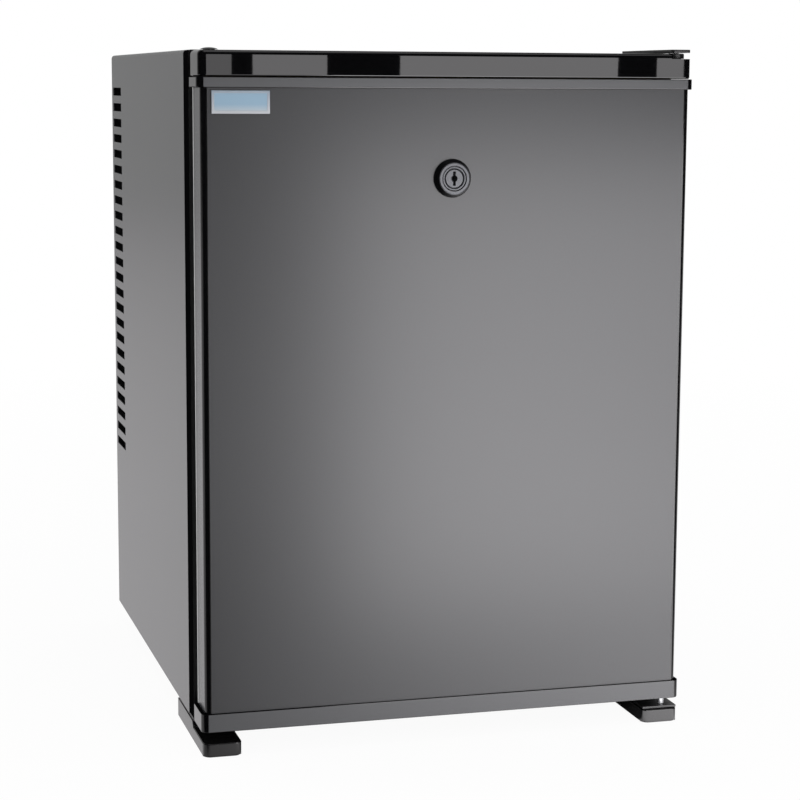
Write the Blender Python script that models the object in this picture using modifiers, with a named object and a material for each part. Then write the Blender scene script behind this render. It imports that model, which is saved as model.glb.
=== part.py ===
"""Absorption minibar fridge of about 40 litres, modelled in metres with +Z up.

The origin is the centre of the floor area that the whole fridge covers. X runs from the left side
to the right side, and depth is counted backwards from the plane of the door's front panel.
"""

import math

import bmesh
import bpy
from mathutils import Matrix, Vector

# Overall sizes of the fridge
CABINET_WIDTH = 0.400
CABINET_DEPTH = 0.460
CABINET_TOP = 0.550
GROUND_CLEARANCE = 0.018

# Clearances and joins between neighbours
SEAT_GAP = 0.0003
CUT_OVERSHOOT = 0.001
WELD_DEPTH = 0.0005
MERGE_DISTANCE = 0.00001

# Cabinet wrap, pan and back
SHEET = 0.0008
WRAP_CORNER_RADIUS = 0.003
WRAP_FLANGE = 0.015
REAR_FLANGE = 0.018
REAR_FLANGE_INSET = 0.0002
REAR_FLANGE_MARGIN = 0.005
PAN_BEAD_HEIGHT = 0.002
PAN_BEAD_WIDTH = 0.010
PAN_BEAD_LENGTH = 0.220
PAN_BEAD_SPACING = 0.110
PAN_BEAD_COUNT = 3
BACK_FLANGE = 0.012
REAR_CAVITY = 0.063
BACK_WALL = 0.040

# Vent slots in the sides of the wrap
SLOT_COUNT = 24
SLOT_PITCH = 0.01455
SLOT_HEIGHT = 0.0075
SLOT_LENGTH = 0.046
SLOT_REAR_MARGIN = 0.008
SLOT_TOP_MARGIN = 0.0339

# Front frame
SIDE_WALL = 0.035
TOP_WALL = 0.033
FRAME_DEPTH = 0.019
FRAME_WALL = 0.0025
MOUTH_CORNER_RADIUS = 0.010

# Inner liner and its shelf ledges
LINER_WALL = 0.002
LEDGE_COUNT = 5
LEDGE_FIRST_HEIGHT = 0.099
LEDGE_RISE = 0.060
LEDGE_REACH = 0.008
LEDGE_THICKNESS = 0.005
LEDGE_FRONT_SETBACK = 0.037
LEDGE_BACK_SETBACK = 0.012

# Wire shelves
SHELF_RAIL_RADIUS = 0.0025
SHELF_WIRE_RADIUS = 0.0015
SHELF_WIRE_COUNT = 11
SHELF_FRONT_SETBACK = 0.065
SHELF_CORNER_RADIUS = 0.014
SHELF_SIDE_CLEARANCE = 0.0008
LOWER_SHELF_LEDGE = 1
UPPER_SHELF_LEDGE = 3

# Evaporator block, its hatch and its drip tray
EVAPORATOR_END_MARGIN = 0.015
EVAPORATOR_HEIGHT = 0.084
EVAPORATOR_BASE = 0.004
EVAPORATOR_DROP = 0.045
FIN_COUNT = 17
FIN_THICKNESS = 0.0016
FIN_DEPTH = 0.020
BOSS_END_MARGIN = 0.015
BOSS_HEIGHT = 0.056
BOSS_LENGTH = 0.0145
HATCH_WIDTH = 0.200
HATCH_HEIGHT = 0.090
HATCH_FLANGE = 0.012
HATCH_COVER = 0.003
HATCH_CORNER_RADIUS = 0.006
DRIP_TRAY_END_MARGIN = 0.012
DRIP_TRAY_DEPTH = 0.032
DRIP_TRAY_HEIGHT = 0.016
DRIP_TRAY_DROP = 0.014
DRIP_TRAY_WALL = 0.0015
DRAIN_SIDE_SETBACK = 0.012
DRAIN_RADIUS = 0.0045
DRAIN_HEIGHT_IN_TRAY = 0.0075
DRAIN_BEND_RADIUS = 0.010
DRAIN_HANG = 0.004

# Control housing on the compartment's ceiling
CONTROL_WIDTH = 0.110
CONTROL_DEPTH = 0.080
CONTROL_HEIGHT = 0.024
CONTROL_SIDE_SETBACK = 0.015
CONTROL_FRONT_SETBACK = 0.087
CONTROL_EDGE_RADIUS = 0.004
LENS_WIDTH = 0.042
LENS_THICKNESS = 0.004
LENS_PROUD = 0.003
LENS_MARGIN = 0.010
LENS_EDGE_RADIUS = 0.001
KNOB_RADIUS = 0.013
KNOB_HEIGHT = 0.007
KNOB_MARGIN = 0.028
KNOB_TAPER = 0.0015
KNOB_GRIP_WIDTH = 0.005
KNOB_GRIP_HEIGHT = 0.006
SPINDLE_RADIUS = 0.003
SPINDLE_LENGTH = 0.008

# Condenser at the top of the rear cavity
UNIT_SETBACK = 0.031
CONDENSER_DROP = 0.045
CONDENSER_SIDE_SETBACK = 0.070
CONDENSER_BOILER_SPACE = 0.032
CONDENSER_TUBE_RADIUS = 0.008
CONDENSER_FIN_COUNT = 26
CONDENSER_END_MARGIN = 0.014
CONDENSER_FIN_THICKNESS = 0.0008
CONDENSER_FIN_HEIGHT = 0.048
CONDENSER_FIN_DEPTH = 0.036

# Boiler and its strap
BOILER_SIDE_SETBACK = 0.050
BOILER_RADIUS = 0.027
BOILER_LOW = 0.050
BOILER_TOP = 0.380
BOILER_CONE = 0.012
BOILER_NECK_RADIUS = 0.010
BOILER_BEAD = 0.0012
BOILER_BEAD_HALF_WIDTH = 0.0025
BOILER_LID_HEIGHT = 0.030
STRAP_HEIGHT = 0.215
STRAP_WIDTH = 0.016
STRAP_THICKNESS = 0.0015
STRAP_TAB_WIDTH = 0.030

# Pipes of the cooling unit
RECTIFIER_RADIUS = 0.007
GAS_PIPE_RADIUS = 0.011
GAS_PIPE_X = 0.060
GAS_PIPE_END = 0.300
HATCH_PIPE_DROP = 0.010
LIQUID_PIPE_RADIUS = 0.006
LIQUID_PIPE_X = -0.070
LIQUID_PIPE_REACH = 0.025
LIQUID_PIPE_DROP = 0.055
RETURN_PIPE_RADIUS = 0.007
RETURN_PIPE_X = -0.030
NEAR_PIPE_SETBACK = 0.0155
NEAR_PIPE_BEND_RADIUS = 0.0115
SOLUTION_PIPE_RADIUS = 0.006
PIPE_INSERTION = 0.008
PIPE_BEND_RADIUS = 0.019
GAS_PIPE_BEND_RADIUS = 0.024

# Absorber coil and vessel
COIL_RADIUS = 0.008
COIL_RUNS = 4
COIL_PITCH = 0.044
COIL_LOW = 0.130
COIL_SIDE_SETBACK = 0.028
COIL_BOILER_SPACE = 0.053
COIL_SLOPE = 0.003
COIL_OUTLET_X = -0.020
VESSEL_RADIUS = 0.025
VESSEL_HEIGHT = 0.065
VESSEL_BOX_SPACE = 0.015
VESSEL_BOILER_SPACE = 0.040
VESSEL_END_FLAT = 0.010
VESSEL_DOME = 0.010
VESSEL_DOME_STEPS = 3
CRADLE_THICKNESS = 0.002
CRADLE_LOW = 0.032
CRADLE_INSET = 0.030
CRADLE_REACH = 0.012
CUP_WIDTH = 0.026
CUP_DEPTH = 0.036
CUP_SETBACK = 0.003
CUP_TOP = 0.106
CUP_WALL = 0.0015
CUP_FLOOR = 0.0035
CUP_SADDLE = 0.014

# Terminal box, cord gland and rear rails
BOX_SIDE_SETBACK = 0.015
BOX_WIDTH = 0.085
BOX_DEPTH = 0.043
BOX_LOW = 0.045
BOX_HEIGHT = 0.060
BOX_EDGE_RADIUS = 0.003
GLAND_RADIUS = 0.010
GLAND_NOSE_RADIUS = 0.0065
GLAND_FLANGE = 0.004
GLAND_LENGTH = 0.014
GLAND_BORE_RADIUS = 0.0038
GLAND_BORE_DEPTH = 0.010
RAIL_HEIGHT = 0.015
RAIL_DEPTH = 0.012
UPPER_RAIL_DROP = 0.003
LOWER_RAIL_RISE = 0.006

# Feet
FOOT_WIDTH = 0.031
FOOT_FRONT_PROUD = 0.002
FOOT_LENGTH = 0.120
FOOT_FRONT_HEIGHT = 0.011
FOOT_STEP_DEPTH = 0.045
FOOT_STEP_SLOPE = 0.006
FOOT_CORNER_RADIUS = 0.006
REAR_FOOT_RADIUS = 0.015
REAR_FOOT_TAPER = 0.002
REAR_FOOT_SIDE_SETBACK = 0.055
REAR_FOOT_SETBACK = 0.037

# Door panel, caps and skirt
DOOR_THICKNESS = 0.034
DOOR_GAP = 0.010
DOOR_LOW = 0.020
DOOR_TOP_DROP = 0.0006
PANEL_SIDE_STEP = 0.002
PANEL_CORNER_RADIUS = 0.005
DOOR_LINER = 0.002
CAP_SIDE_STEP = 0.0005
TOP_CAP_HEIGHT = 0.0197
CAP_WALL = 0.0025
CAP_END_SOLID = 0.024
CAP_CORNER_RADIUS = 0.006
SKIRT_HEIGHT = 0.0082
LIP_SIDE_PROUD = 0.001
LIP_FRONT_PROUD = 0.0015
BOTTOM_CAP_HEIGHT = 0.015

# Gasket, inner door and racks
GASKET_MARGIN = 0.012
GASKET_WIDTH = 0.014
GASKET_BASE = 0.0027
GASKET_NECK = 0.003
DYKE_SIDE_MARGIN = 0.013
DYKE_LOW_MARGIN = 0.015
DYKE_TOP_MARGIN = 0.011
DYKE_WIDTH = 0.014
DYKE_DEPTH = 0.040
DYKE_CORNER_RADIUS = 0.008
RACK_DEPTH = 0.0817
RACK_WALL = 0.002
RACK_CORNER_RADIUS = 0.006
RACK_HEIGHT = 0.065
RACK_WINDOW_LOW = 0.026
RACK_WINDOW_HEIGHT = 0.022
RACK_WINDOW_MARGIN = 0.020
UPPER_RACK_LOW = 0.270

# Blank badge plate
BADGE_WIDTH = 0.045
BADGE_HEIGHT = 0.0175
BADGE_THICKNESS = 0.0012
BADGE_SIDE_MARGIN = 0.008
BADGE_TOP_MARGIN = 0.002
BADGE_BEVEL = 0.0005

# Door hinge
HINGE_SIDE_INSET = 0.0105
HINGE_DEPTH = 0.010
HINGE_CLEARANCE = 0.0003
TOP_PIN_RADIUS = 0.003
TOP_PIN_REACH = 0.017
BOTTOM_PIN_RADIUS = 0.0025
BOTTOM_PIN_REACH = 0.010
BOTTOM_PIN_SEAT = 0.007
BUSH_RADIUS = 0.0045
BUSH_FLANGE_RADIUS = 0.0065
TOP_BUSH_LENGTH = 0.015
TOP_BUSH_FLANGE = 0.004
BOTTOM_BUSH_COLLAR = 0.0012
POCKET_WIDTH = 0.018
POCKET_DEPTH = 0.004
BOTTOM_BOSS_RADIUS = 0.007
BOTTOM_BOSS_HEIGHT = 0.012
HINGE_PLATE = 0.0025
HINGE_PLATE_SIDE_STEP = 0.0005
HINGE_PLATE_WIDTH = 0.019
HINGE_PLATE_NOSE = 0.0165
HINGE_PLATE_FRONT = 0.002
HINGE_PLATE_SHOULDER = 0.036
HINGE_PLATE_REAR = 0.108
LOWER_PLATE = 0.002
LOWER_PLATE_FRONT = 0.001
SCREW_INSET = 0.010
SCREW_DEPTHS = (0.078, 0.098)
SCREW_SHANK_RADIUS = 0.0017
SCREW_HEAD_RADIUS = 0.0036
SCREW_HEAD_HEIGHT = 0.0020
SCREW_LENGTH = 0.015
PLUG_HEAD_RADIUS = 0.007
PLUG_HEAD_HEIGHT = 0.0018
PLUG_HEAD_CHAMFER = 0.0015
PLUG_STEM_LENGTH = 0.014

# Lock
LOCK_DROP = 0.098
BEZEL_RADIUS = 0.015
BEZEL_NOSE_RADIUS = 0.0125
BEZEL_RIM = 0.001
BEZEL_PROUD = 0.007
BARREL_RADIUS = 0.0095
BARREL_INSET = 0.0005
BARREL_REACH = 0.016
CYLINDER_RADIUS = 0.0075
CYLINDER_CLEARANCE = 0.0003
CYLINDER_INSET = 0.0003
CYLINDER_REACH = 0.0015
KEYHOLE_HEIGHT = 0.011
KEYHOLE_SLOT_WIDTH = 0.0022
KEYHOLE_EYE_RADIUS = 0.0026
KEYHOLE_DEPTH = 0.012
NUT_RADIUS = 0.014
NUT_SIDES = 6
NUT_THICKNESS = 0.005
CRANK_RADIUS = 0.013
CRANK_THICKNESS = 0.0027
CRANK_PIN_OFFSET = 0.009
CRANK_PIN_RADIUS = 0.002
CRANK_PIN_LENGTH = 0.0055
CRANK_REST_ANGLE = math.radians(45)
BOLT_THICKNESS = 0.003
BOLT_WIDTH = 0.012
BOLT_SETBACK = 0.0007
BOLT_TIP_CLEARANCE = 0.005
BOLT_SLOT_CLEARANCE = 0.0007
BOLT_FOOT_MARGIN = 0.003
BOLT_TIP_RADIUS = 0.002
GUIDE_WIDTH = 0.049
GUIDE_WALL = 0.002
GUIDE_DROP = 0.030
GUIDE_TOP_MARGIN = 0.0135
GUIDE_EDGE_RADIUS = 0.003
GUIDE_PIN_CLEARANCE = 0.0005
KEEPER_WIDTH = 0.040
KEEPER_THICKNESS = 0.0015
KEEPER_SIDE_CLEARANCE = 0.003
KEEPER_DEPTH_CLEARANCE = 0.0022
KEEPER_POCKET = 0.008

# Facets on round forms
ROUND_SIDES = 24
MEDIUM_SIDES = 14
SMALL_SIDES = 12
TUBE_SIDES = 8
WIRE_SIDES = 6
CORNER_STEPS = 3
BEND_STEPS = 4
TUBE_RESOLUTION = 3
WIRE_RESOLUTION = 2
SMOOTH_ANGLE = math.radians(40)

# Places worked out from the sizes above
FRONT_Y = (BEZEL_PROUD - CABINET_DEPTH) / 2
SIDE_X = CABINET_WIDTH / 2
LIP_X = SIDE_X + LIP_SIDE_PROUD
FRAME_FRONT = DOOR_THICKNESS + DOOR_GAP
WRAP_FRONT = FRAME_FRONT + FRAME_DEPTH
INSIDE_X = SIDE_X - SHEET - SEAT_GAP
INSIDE_TOP = CABINET_TOP - SHEET - SEAT_GAP
MOUTH_X = SIDE_X - SIDE_WALL
MOUTH_LOW = GROUND_CLEARANCE + TOP_WALL
MOUTH_TOP = CABINET_TOP - TOP_WALL
PAN_LOW = GROUND_CLEARANCE + SHEET + SEAT_GAP
FOAM_LOW = PAN_LOW + SHEET + SEAT_GAP
BACK_PANEL = CABINET_DEPTH - REAR_CAVITY
BACK_SEAT = BACK_PANEL + SEAT_GAP
FOAM_BACK = BACK_PANEL - SHEET - SEAT_GAP
COMPARTMENT_BACK = BACK_PANEL - BACK_WALL
UNIT_DEPTH = CABINET_DEPTH - UNIT_SETBACK
NEAR_PIPE_DEPTH = BACK_PANEL + NEAR_PIPE_SETBACK
EVAPORATOR_TOP = MOUTH_TOP - EVAPORATOR_DROP
EVAPORATOR_LOW = EVAPORATOR_TOP - EVAPORATOR_HEIGHT
EVAPORATOR_MIDDLE = (EVAPORATOR_TOP + EVAPORATOR_LOW) / 2
EVAPORATOR_BACK = COMPARTMENT_BACK - SEAT_GAP
BOSS_BACK = COMPARTMENT_BACK + BOSS_LENGTH
HATCH_PIPE_HEIGHT = EVAPORATOR_MIDDLE - HATCH_PIPE_DROP
TRAY_TOP = EVAPORATOR_LOW - DRIP_TRAY_DROP
TRAY_LOW = TRAY_TOP - DRIP_TRAY_HEIGHT
DRAIN_HEIGHT = TRAY_LOW + DRAIN_HEIGHT_IN_TRAY
CUP_FLOOR_TOP = VESSEL_HEIGHT + VESSEL_RADIUS + SEAT_GAP + CUP_FLOOR
CONDENSER_HEIGHT = CABINET_TOP - CONDENSER_DROP
BOILER_X = SIDE_X - BOILER_SIDE_SETBACK
CONDENSER_LEFT = CONDENSER_SIDE_SETBACK - SIDE_X
CONDENSER_RIGHT = BOILER_X - CONDENSER_BOILER_SPACE
COIL_LEFT = COIL_SIDE_SETBACK - SIDE_X
COIL_RIGHT = BOILER_X - COIL_BOILER_SPACE
BOX_LEFT = BOX_SIDE_SETBACK - SIDE_X
VESSEL_LEFT = BOX_LEFT + BOX_WIDTH + VESSEL_BOX_SPACE
VESSEL_RIGHT = BOILER_X - VESSEL_BOILER_SPACE
DRAIN_X = VESSEL_RIGHT - DRAIN_SIDE_SETBACK
DRIP_TRAY_WIDTH = 2 * (DRAIN_X + DRIP_TRAY_END_MARGIN)
EVAPORATOR_WIDTH = DRIP_TRAY_WIDTH - 2 * EVAPORATOR_END_MARGIN
BOSS_WIDTH = EVAPORATOR_WIDTH - 2 * BOSS_END_MARGIN
LIQUID_PIPE_HEIGHT = CONDENSER_HEIGHT - LIQUID_PIPE_DROP
CONTROL_RIGHT = MOUTH_X - CONTROL_SIDE_SETBACK
CONTROL_FRONT = WRAP_FRONT + CONTROL_FRONT_SETBACK
CONTROL_LOW = MOUTH_TOP - SEAT_GAP - CONTROL_HEIGHT
KNOB_X = CONTROL_RIGHT - KNOB_MARGIN
KNOB_DEPTH = CONTROL_FRONT + CONTROL_DEPTH / 2
FOOT_SEAT = GROUND_CLEARANCE - SEAT_GAP
REAR_FOOT_X = SIDE_X - REAR_FOOT_SIDE_SETBACK
LOWER_PLATE_SEAT = FOOT_SEAT - LOWER_PLATE
DOOR_TOP = CABINET_TOP - DOOR_TOP_DROP
CAP_LOW = DOOR_TOP - TOP_CAP_HEIGHT
PANEL_TOP = CAP_LOW - SEAT_GAP
PANEL_X = SIDE_X - PANEL_SIDE_STEP
PANEL_LOW = DOOR_LOW + CAP_WALL + SEAT_GAP
LINER_FRONT = DOOR_THICKNESS - DOOR_LINER
PANEL_BACK = LINER_FRONT - SEAT_GAP
DOOR_SEAT = DOOR_THICKNESS + SEAT_GAP
DYKE_X = MOUTH_X - DYKE_SIDE_MARGIN
DYKE_LOW = MOUTH_LOW + DYKE_LOW_MARGIN
DYKE_TOP = MOUTH_TOP - DYKE_TOP_MARGIN
DYKE_BACK = DOOR_THICKNESS + DYKE_DEPTH
HINGE_X = SIDE_X - HINGE_SIDE_INSET
POCKET_FLOOR = DOOR_TOP - POCKET_DEPTH
HINGE_PLATE_LOW = CABINET_TOP + SEAT_GAP
LOCK_HEIGHT = CABINET_TOP - LOCK_DROP
BARREL_FRONT = BARREL_INSET - BEZEL_PROUD
BARREL_BACK = DOOR_THICKNESS + BARREL_REACH
CYLINDER_FRONT = BARREL_FRONT + CYLINDER_INSET
CYLINDER_BACK = BARREL_BACK + CYLINDER_REACH
CRANK_FRONT = CYLINDER_BACK + SEAT_GAP
CRANK_BACK = CRANK_FRONT + CRANK_THICKNESS
CRANK_PIN_BACK = CRANK_BACK + CRANK_PIN_LENGTH
CRANK_PIN_X = -CRANK_PIN_OFFSET * math.cos(CRANK_REST_ANGLE)
CRANK_PIN_HEIGHT = LOCK_HEIGHT - CRANK_PIN_OFFSET * math.sin(CRANK_REST_ANGLE)
BOLT_FRONT = CRANK_BACK + BOLT_SETBACK
BOLT_BACK = BOLT_FRONT + BOLT_THICKNESS
BOLT_TIP = MOUTH_TOP - BOLT_TIP_CLEARANCE
GUIDE_BACK = CRANK_PIN_BACK + GUIDE_PIN_CLEARANCE + GUIDE_WALL
GUIDE_TOP = MOUTH_TOP - GUIDE_TOP_MARGIN
KEEPER_LOW = MOUTH_TOP + FRAME_WALL + SEAT_GAP

# Colour, roughness and metallic value of each finish
FINISHES = {
    "painted_steel": ((0.075, 0.076, 0.080), 0.42, 0.2),
    "gloss_black_plastic": ((0.006, 0.006, 0.007), 0.12, 0.0),
    "satin_black_plastic": ((0.020, 0.020, 0.022), 0.40, 0.0),
    "white_plastic": ((0.78, 0.79, 0.80), 0.35, 0.0),
    "lamp_plastic": ((0.85, 0.86, 0.88), 0.20, 0.0),
    "foam": ((0.75, 0.66, 0.42), 0.90, 0.0),
    "zinc_steel": ((0.55, 0.56, 0.57), 0.38, 0.9),
    "black_pipe": ((0.025, 0.025, 0.026), 0.50, 0.1),
    "aluminium": ((0.72, 0.73, 0.75), 0.35, 0.9),
    "gasket_rubber": ((0.015, 0.015, 0.016), 0.75, 0.0),
    "white_wire": ((0.74, 0.75, 0.76), 0.40, 0.0),
    "dark_metal": ((0.10, 0.10, 0.105), 0.35, 0.7),
    "badge_metal": ((0.42, 0.58, 0.70), 0.35, 0.6),
}

PARTS = "Minibar fridge"
CUTTERS = "Cutters"
AXIS_TURNS = {
    "X": Matrix.Rotation(math.radians(90), 4, "Y"),
    "Y": Matrix.Rotation(math.radians(-90), 4, "X"),
    "Z": Matrix.Identity(4),
}


# Tools for placing, shaping and joining

def deep(depth):
    """World Y of a point this far behind the door's front panel."""
    return FRONT_Y + depth


def collection(name):
    found = bpy.data.collections.get(name)
    if found is None:
        found = bpy.data.collections.new(name)
        bpy.context.scene.collection.children.link(found)
    return found


def material(name):
    found = bpy.data.materials.get(name)
    if found is None:
        colour, roughness, metallic = FINISHES[name]
        found = bpy.data.materials.new(name)
        found.use_nodes = True
        shader = found.node_tree.nodes["Principled BSDF"]
        shader.inputs["Base Color"].default_value = (*colour, 1.0)
        shader.inputs["Roughness"].default_value = roughness
        shader.inputs["Metallic"].default_value = metallic
    return found


def place(name, mesh, finish):
    """Put a mesh in the scene as a piece, or as a hidden cutter if it has no finish."""
    made = bpy.data.objects.new(name, mesh)
    if finish is None:
        collection(CUTTERS).objects.link(made)
        made.hide_render = True
        made.display_type = "WIRE"
    else:
        mesh.materials.append(material(finish))
        collection(PARTS).objects.link(made)
    return made


def mesh_from(shape, name):
    mesh = bpy.data.meshes.new(name)
    shape.to_mesh(mesh)
    shape.free()
    return mesh


def smooth(made):
    made.data.shade_smooth()
    made.data.set_sharp_from_angle(angle=SMOOTH_ANGLE)
    return made


def block(name, xs, depths, zs, finish=None):
    low = Vector((xs[0], deep(depths[0]), zs[0]))
    high = Vector((xs[1], deep(depths[1]), zs[1]))
    shape = bmesh.new()
    bmesh.ops.create_cube(shape, size=1.0)
    bmesh.ops.scale(shape, vec=high - low, verts=shape.verts)
    made = place(name, mesh_from(shape, name), finish)
    made.location = (low + high) / 2
    return made


def rod(name, centre, axis, radius, length, finish=None, sides=ROUND_SIDES):
    """A straight cylinder, centred on a point given as x, depth and height."""
    shape = bmesh.new()
    bmesh.ops.create_cone(
        shape, cap_ends=True, segments=sides, radius1=radius, radius2=radius, depth=length)
    bmesh.ops.transform(shape, matrix=AXIS_TURNS[axis], verts=shape.verts)
    made = place(name, mesh_from(shape, name), finish)
    made.location = (centre[0], deep(centre[1]), centre[2])
    return smooth(made)


def turned(name, base, axis, profile, finish=None, sides=ROUND_SIDES, closed=False):
    """Turn a profile of radius and distance along the axis, given from its far end back."""
    mesh = bpy.data.meshes.new(name)
    edges = [(step, step + 1) for step in range(len(profile) - 1)]
    if closed:
        edges.append((len(profile) - 1, 0))
    mesh.from_pydata([(radius, 0.0, along) for radius, along in profile], edges, [])
    made = place(name, mesh, finish)
    made.location = (base[0], deep(base[1]), base[2])
    made.rotation_euler = AXIS_TURNS[axis].to_euler()
    screw = made.modifiers.new("Turn", "SCREW")
    screw.axis = "Z"
    screw.steps = sides
    screw.render_steps = sides
    screw.use_merge_vertices = True
    screw.merge_threshold = MERGE_DISTANCE
    screw.use_smooth_shade = False
    return made


def open_box(name, xs, depths, zs, open_sides, wall, finish, outward=False, corner=0.0):
    """A thin-walled box with some sides left open, such as a tray, a channel or a shell."""
    made = block(name, xs, depths, zs, finish)
    directions = {"+X": (1, 0, 0), "-X": (-1, 0, 0), "+Y": (0, 1, 0),
                  "-Y": (0, -1, 0), "+Z": (0, 0, 1), "-Z": (0, 0, -1)}
    shape = bmesh.new()
    shape.from_mesh(made.data)
    shape.normal_update()
    unwanted = [face for face in shape.faces
                if any(face.normal.dot(Vector(directions[side])) > 0.9 for side in open_sides)]
    bmesh.ops.delete(shape, geom=unwanted, context="FACES")
    shape.to_mesh(made.data)
    shape.free()
    if corner > 0:
        round_edges(made, corner)
    thicken(made, wall, outward)
    return made


def thicken(made, wall, outward=False):
    shell = made.modifiers.new("Wall", "SOLIDIFY")
    shell.thickness = wall
    shell.offset = 1.0 if outward else -1.0
    shell.use_even_offset = True


def round_edges(made, radius, along=None, where=None, steps=CORNER_STEPS):
    """Round all sharp edges, or those that run along one axis and pass a test of their middle."""
    bevel = made.modifiers.new("Rounding", "BEVEL")
    bevel.width = radius
    bevel.segments = steps
    bevel.use_clamp_overlap = True
    if along is None and where is None:
        bevel.limit_method = "ANGLE"
        return made
    bevel.limit_method = "WEIGHT"
    mesh = made.data
    weights = mesh.attributes.new("bevel_weight_edge", "FLOAT", "EDGE")
    for edge, weight in zip(mesh.edges, weights.data):
        first, second = (mesh.vertices[corner].co for corner in edge.vertices)
        run = second - first
        straight = along is None or abs(run["XYZ".index(along)]) > 0.99 * run.length
        middle = (first + second) / 2
        weight.value = 1.0 if straight and (where is None or where(middle)) else 0.0
    return made


def combine(target, operation, others):
    for other in others:
        step = target.modifiers.new(other.name, "BOOLEAN")
        step.operation = operation
        step.solver = "EXACT"
        step.object = other
    return target


def cut(target, *cutters):
    return combine(target, "DIFFERENCE", cutters)


def fuse(target, *others):
    return combine(target, "UNION", others)


def repeat(made, count, step):
    copies = made.modifiers.new("Repeat", "ARRAY")
    copies.count = count
    copies.use_relative_offset = False
    copies.use_constant_offset = True
    copies.constant_offset_displace = step
    copies.use_merge_vertices = False
    return made


def ring(name, xs, depths, zs, width, finish=None, corner=0.0, inner_corner=0.0):
    """A rectangular frame whose members are this wide, cut from one block."""
    made = block(name, xs, depths, zs, finish)
    if corner > 0:
        round_edges(made, corner, along="Y")
    opening = block(
        name + "_opening",
        (xs[0] + width, xs[1] - width),
        (depths[0] - CUT_OVERSHOOT, depths[1] + CUT_OVERSHOOT),
        (zs[0] + width, zs[1] - width))
    if inner_corner > 0:
        round_edges(opening, inner_corner, along="Y")
    return cut(made, opening)


def weld(mesh):
    shape = bmesh.new()
    shape.from_mesh(mesh)
    bmesh.ops.remove_doubles(shape, verts=shape.verts, dist=MERGE_DISTANCE)
    bmesh.ops.recalc_face_normals(shape, faces=shape.faces)
    shape.to_mesh(mesh)
    shape.free()


def mesh_of_curve(name, curve):
    guide = bpy.data.objects.new(name + "_guide", curve)
    collection(CUTTERS).objects.link(guide)
    evaluated = guide.evaluated_get(bpy.context.evaluated_depsgraph_get())
    mesh = bpy.data.meshes.new_from_object(evaluated)
    bpy.data.objects.remove(guide)
    weld(mesh)
    mesh.materials.clear()
    return mesh


def tube(name, points, radius, finish=None, closed=False, resolution=TUBE_RESOLUTION):
    """A round bar or pipe along points given in world coordinates."""
    curve = bpy.data.curves.new(name, "CURVE")
    curve.dimensions = "3D"
    curve.bevel_depth = radius
    curve.bevel_resolution = resolution
    curve.use_fill_caps = True
    spline = curve.splines.new("POLY")
    spline.points.add(len(points) - 1)
    for knot, point in zip(spline.points, points):
        knot.co = (*point, 1.0)
    spline.use_cyclic_u = closed
    return smooth(place(name, mesh_of_curve(name, curve), finish))


def rounded_route(corners, radius, closed=False):
    """World points along straight runs whose corners, given as x, depth and height, are bent."""
    knots = [Vector((x, deep(depth), z)) for x, depth, z in corners]
    if closed:
        triples = zip([knots[-1]] + knots[:-1], knots, knots[1:] + [knots[0]])
        route = []
    else:
        triples = zip(knots, knots[1:], knots[2:])
        route = [knots[0]]
    for before, corner, after in triples:
        arrive = (corner - before).normalized()
        leave = (after - corner).normalized()
        turn = arrive.angle(leave)
        reach = radius * math.tan(turn / 2)
        start = corner - arrive * reach
        centre = corner + (leave - arrive).normalized() * radius / math.cos(turn / 2)
        axis = arrive.cross(leave)
        for step in range(BEND_STEPS + 1):
            swing = Matrix.Rotation(turn * step / BEND_STEPS, 3, axis)
            route.append(centre + swing @ (start - centre))
    if not closed:
        route.append(knots[-1])
    return route


def plate(name, outline, plane, span, finish=None):
    """A flat outline extruded along the axis across its plane, from one end of a span to the other."""
    curve = bpy.data.curves.new(name, "CURVE")
    curve.dimensions = "2D"
    curve.fill_mode = "BOTH"
    curve.extrude = (span[1] - span[0]) / 2
    spline = curve.splines.new("POLY")
    spline.points.add(len(outline) - 1)
    for knot, (across, up) in zip(spline.points, outline):
        knot.co = (across, up, 0.0, 1.0)
    spline.use_cyclic_u = True
    mesh = mesh_of_curve(name, curve)
    middle = (span[0] + span[1]) / 2
    turns = {
        "XY": (Matrix.Identity(4), Vector((0, 0, middle))),
        "YZ": (Matrix(((0, 0, 1, 0), (1, 0, 0, 0), (0, 1, 0, 0), (0, 0, 0, 1))),
               Vector((middle, 0, 0))),
    }
    turn, shift = turns[plane]
    mesh.transform(turn)
    made = place(name, mesh, finish)
    made.location = shift
    return made


def pivot(name, x, depth, height):
    """An empty on a joint's axis, which carries what turns or slides there."""
    axis = bpy.data.objects.new(name, None)
    axis.location = (x, deep(depth), height)
    collection(PARTS).objects.link(axis)
    return axis


def hang(carrier, *pieces):
    for piece in pieces:
        piece.parent = carrier
        piece.location = piece.location - carrier.location


# Cabinet shell

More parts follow.
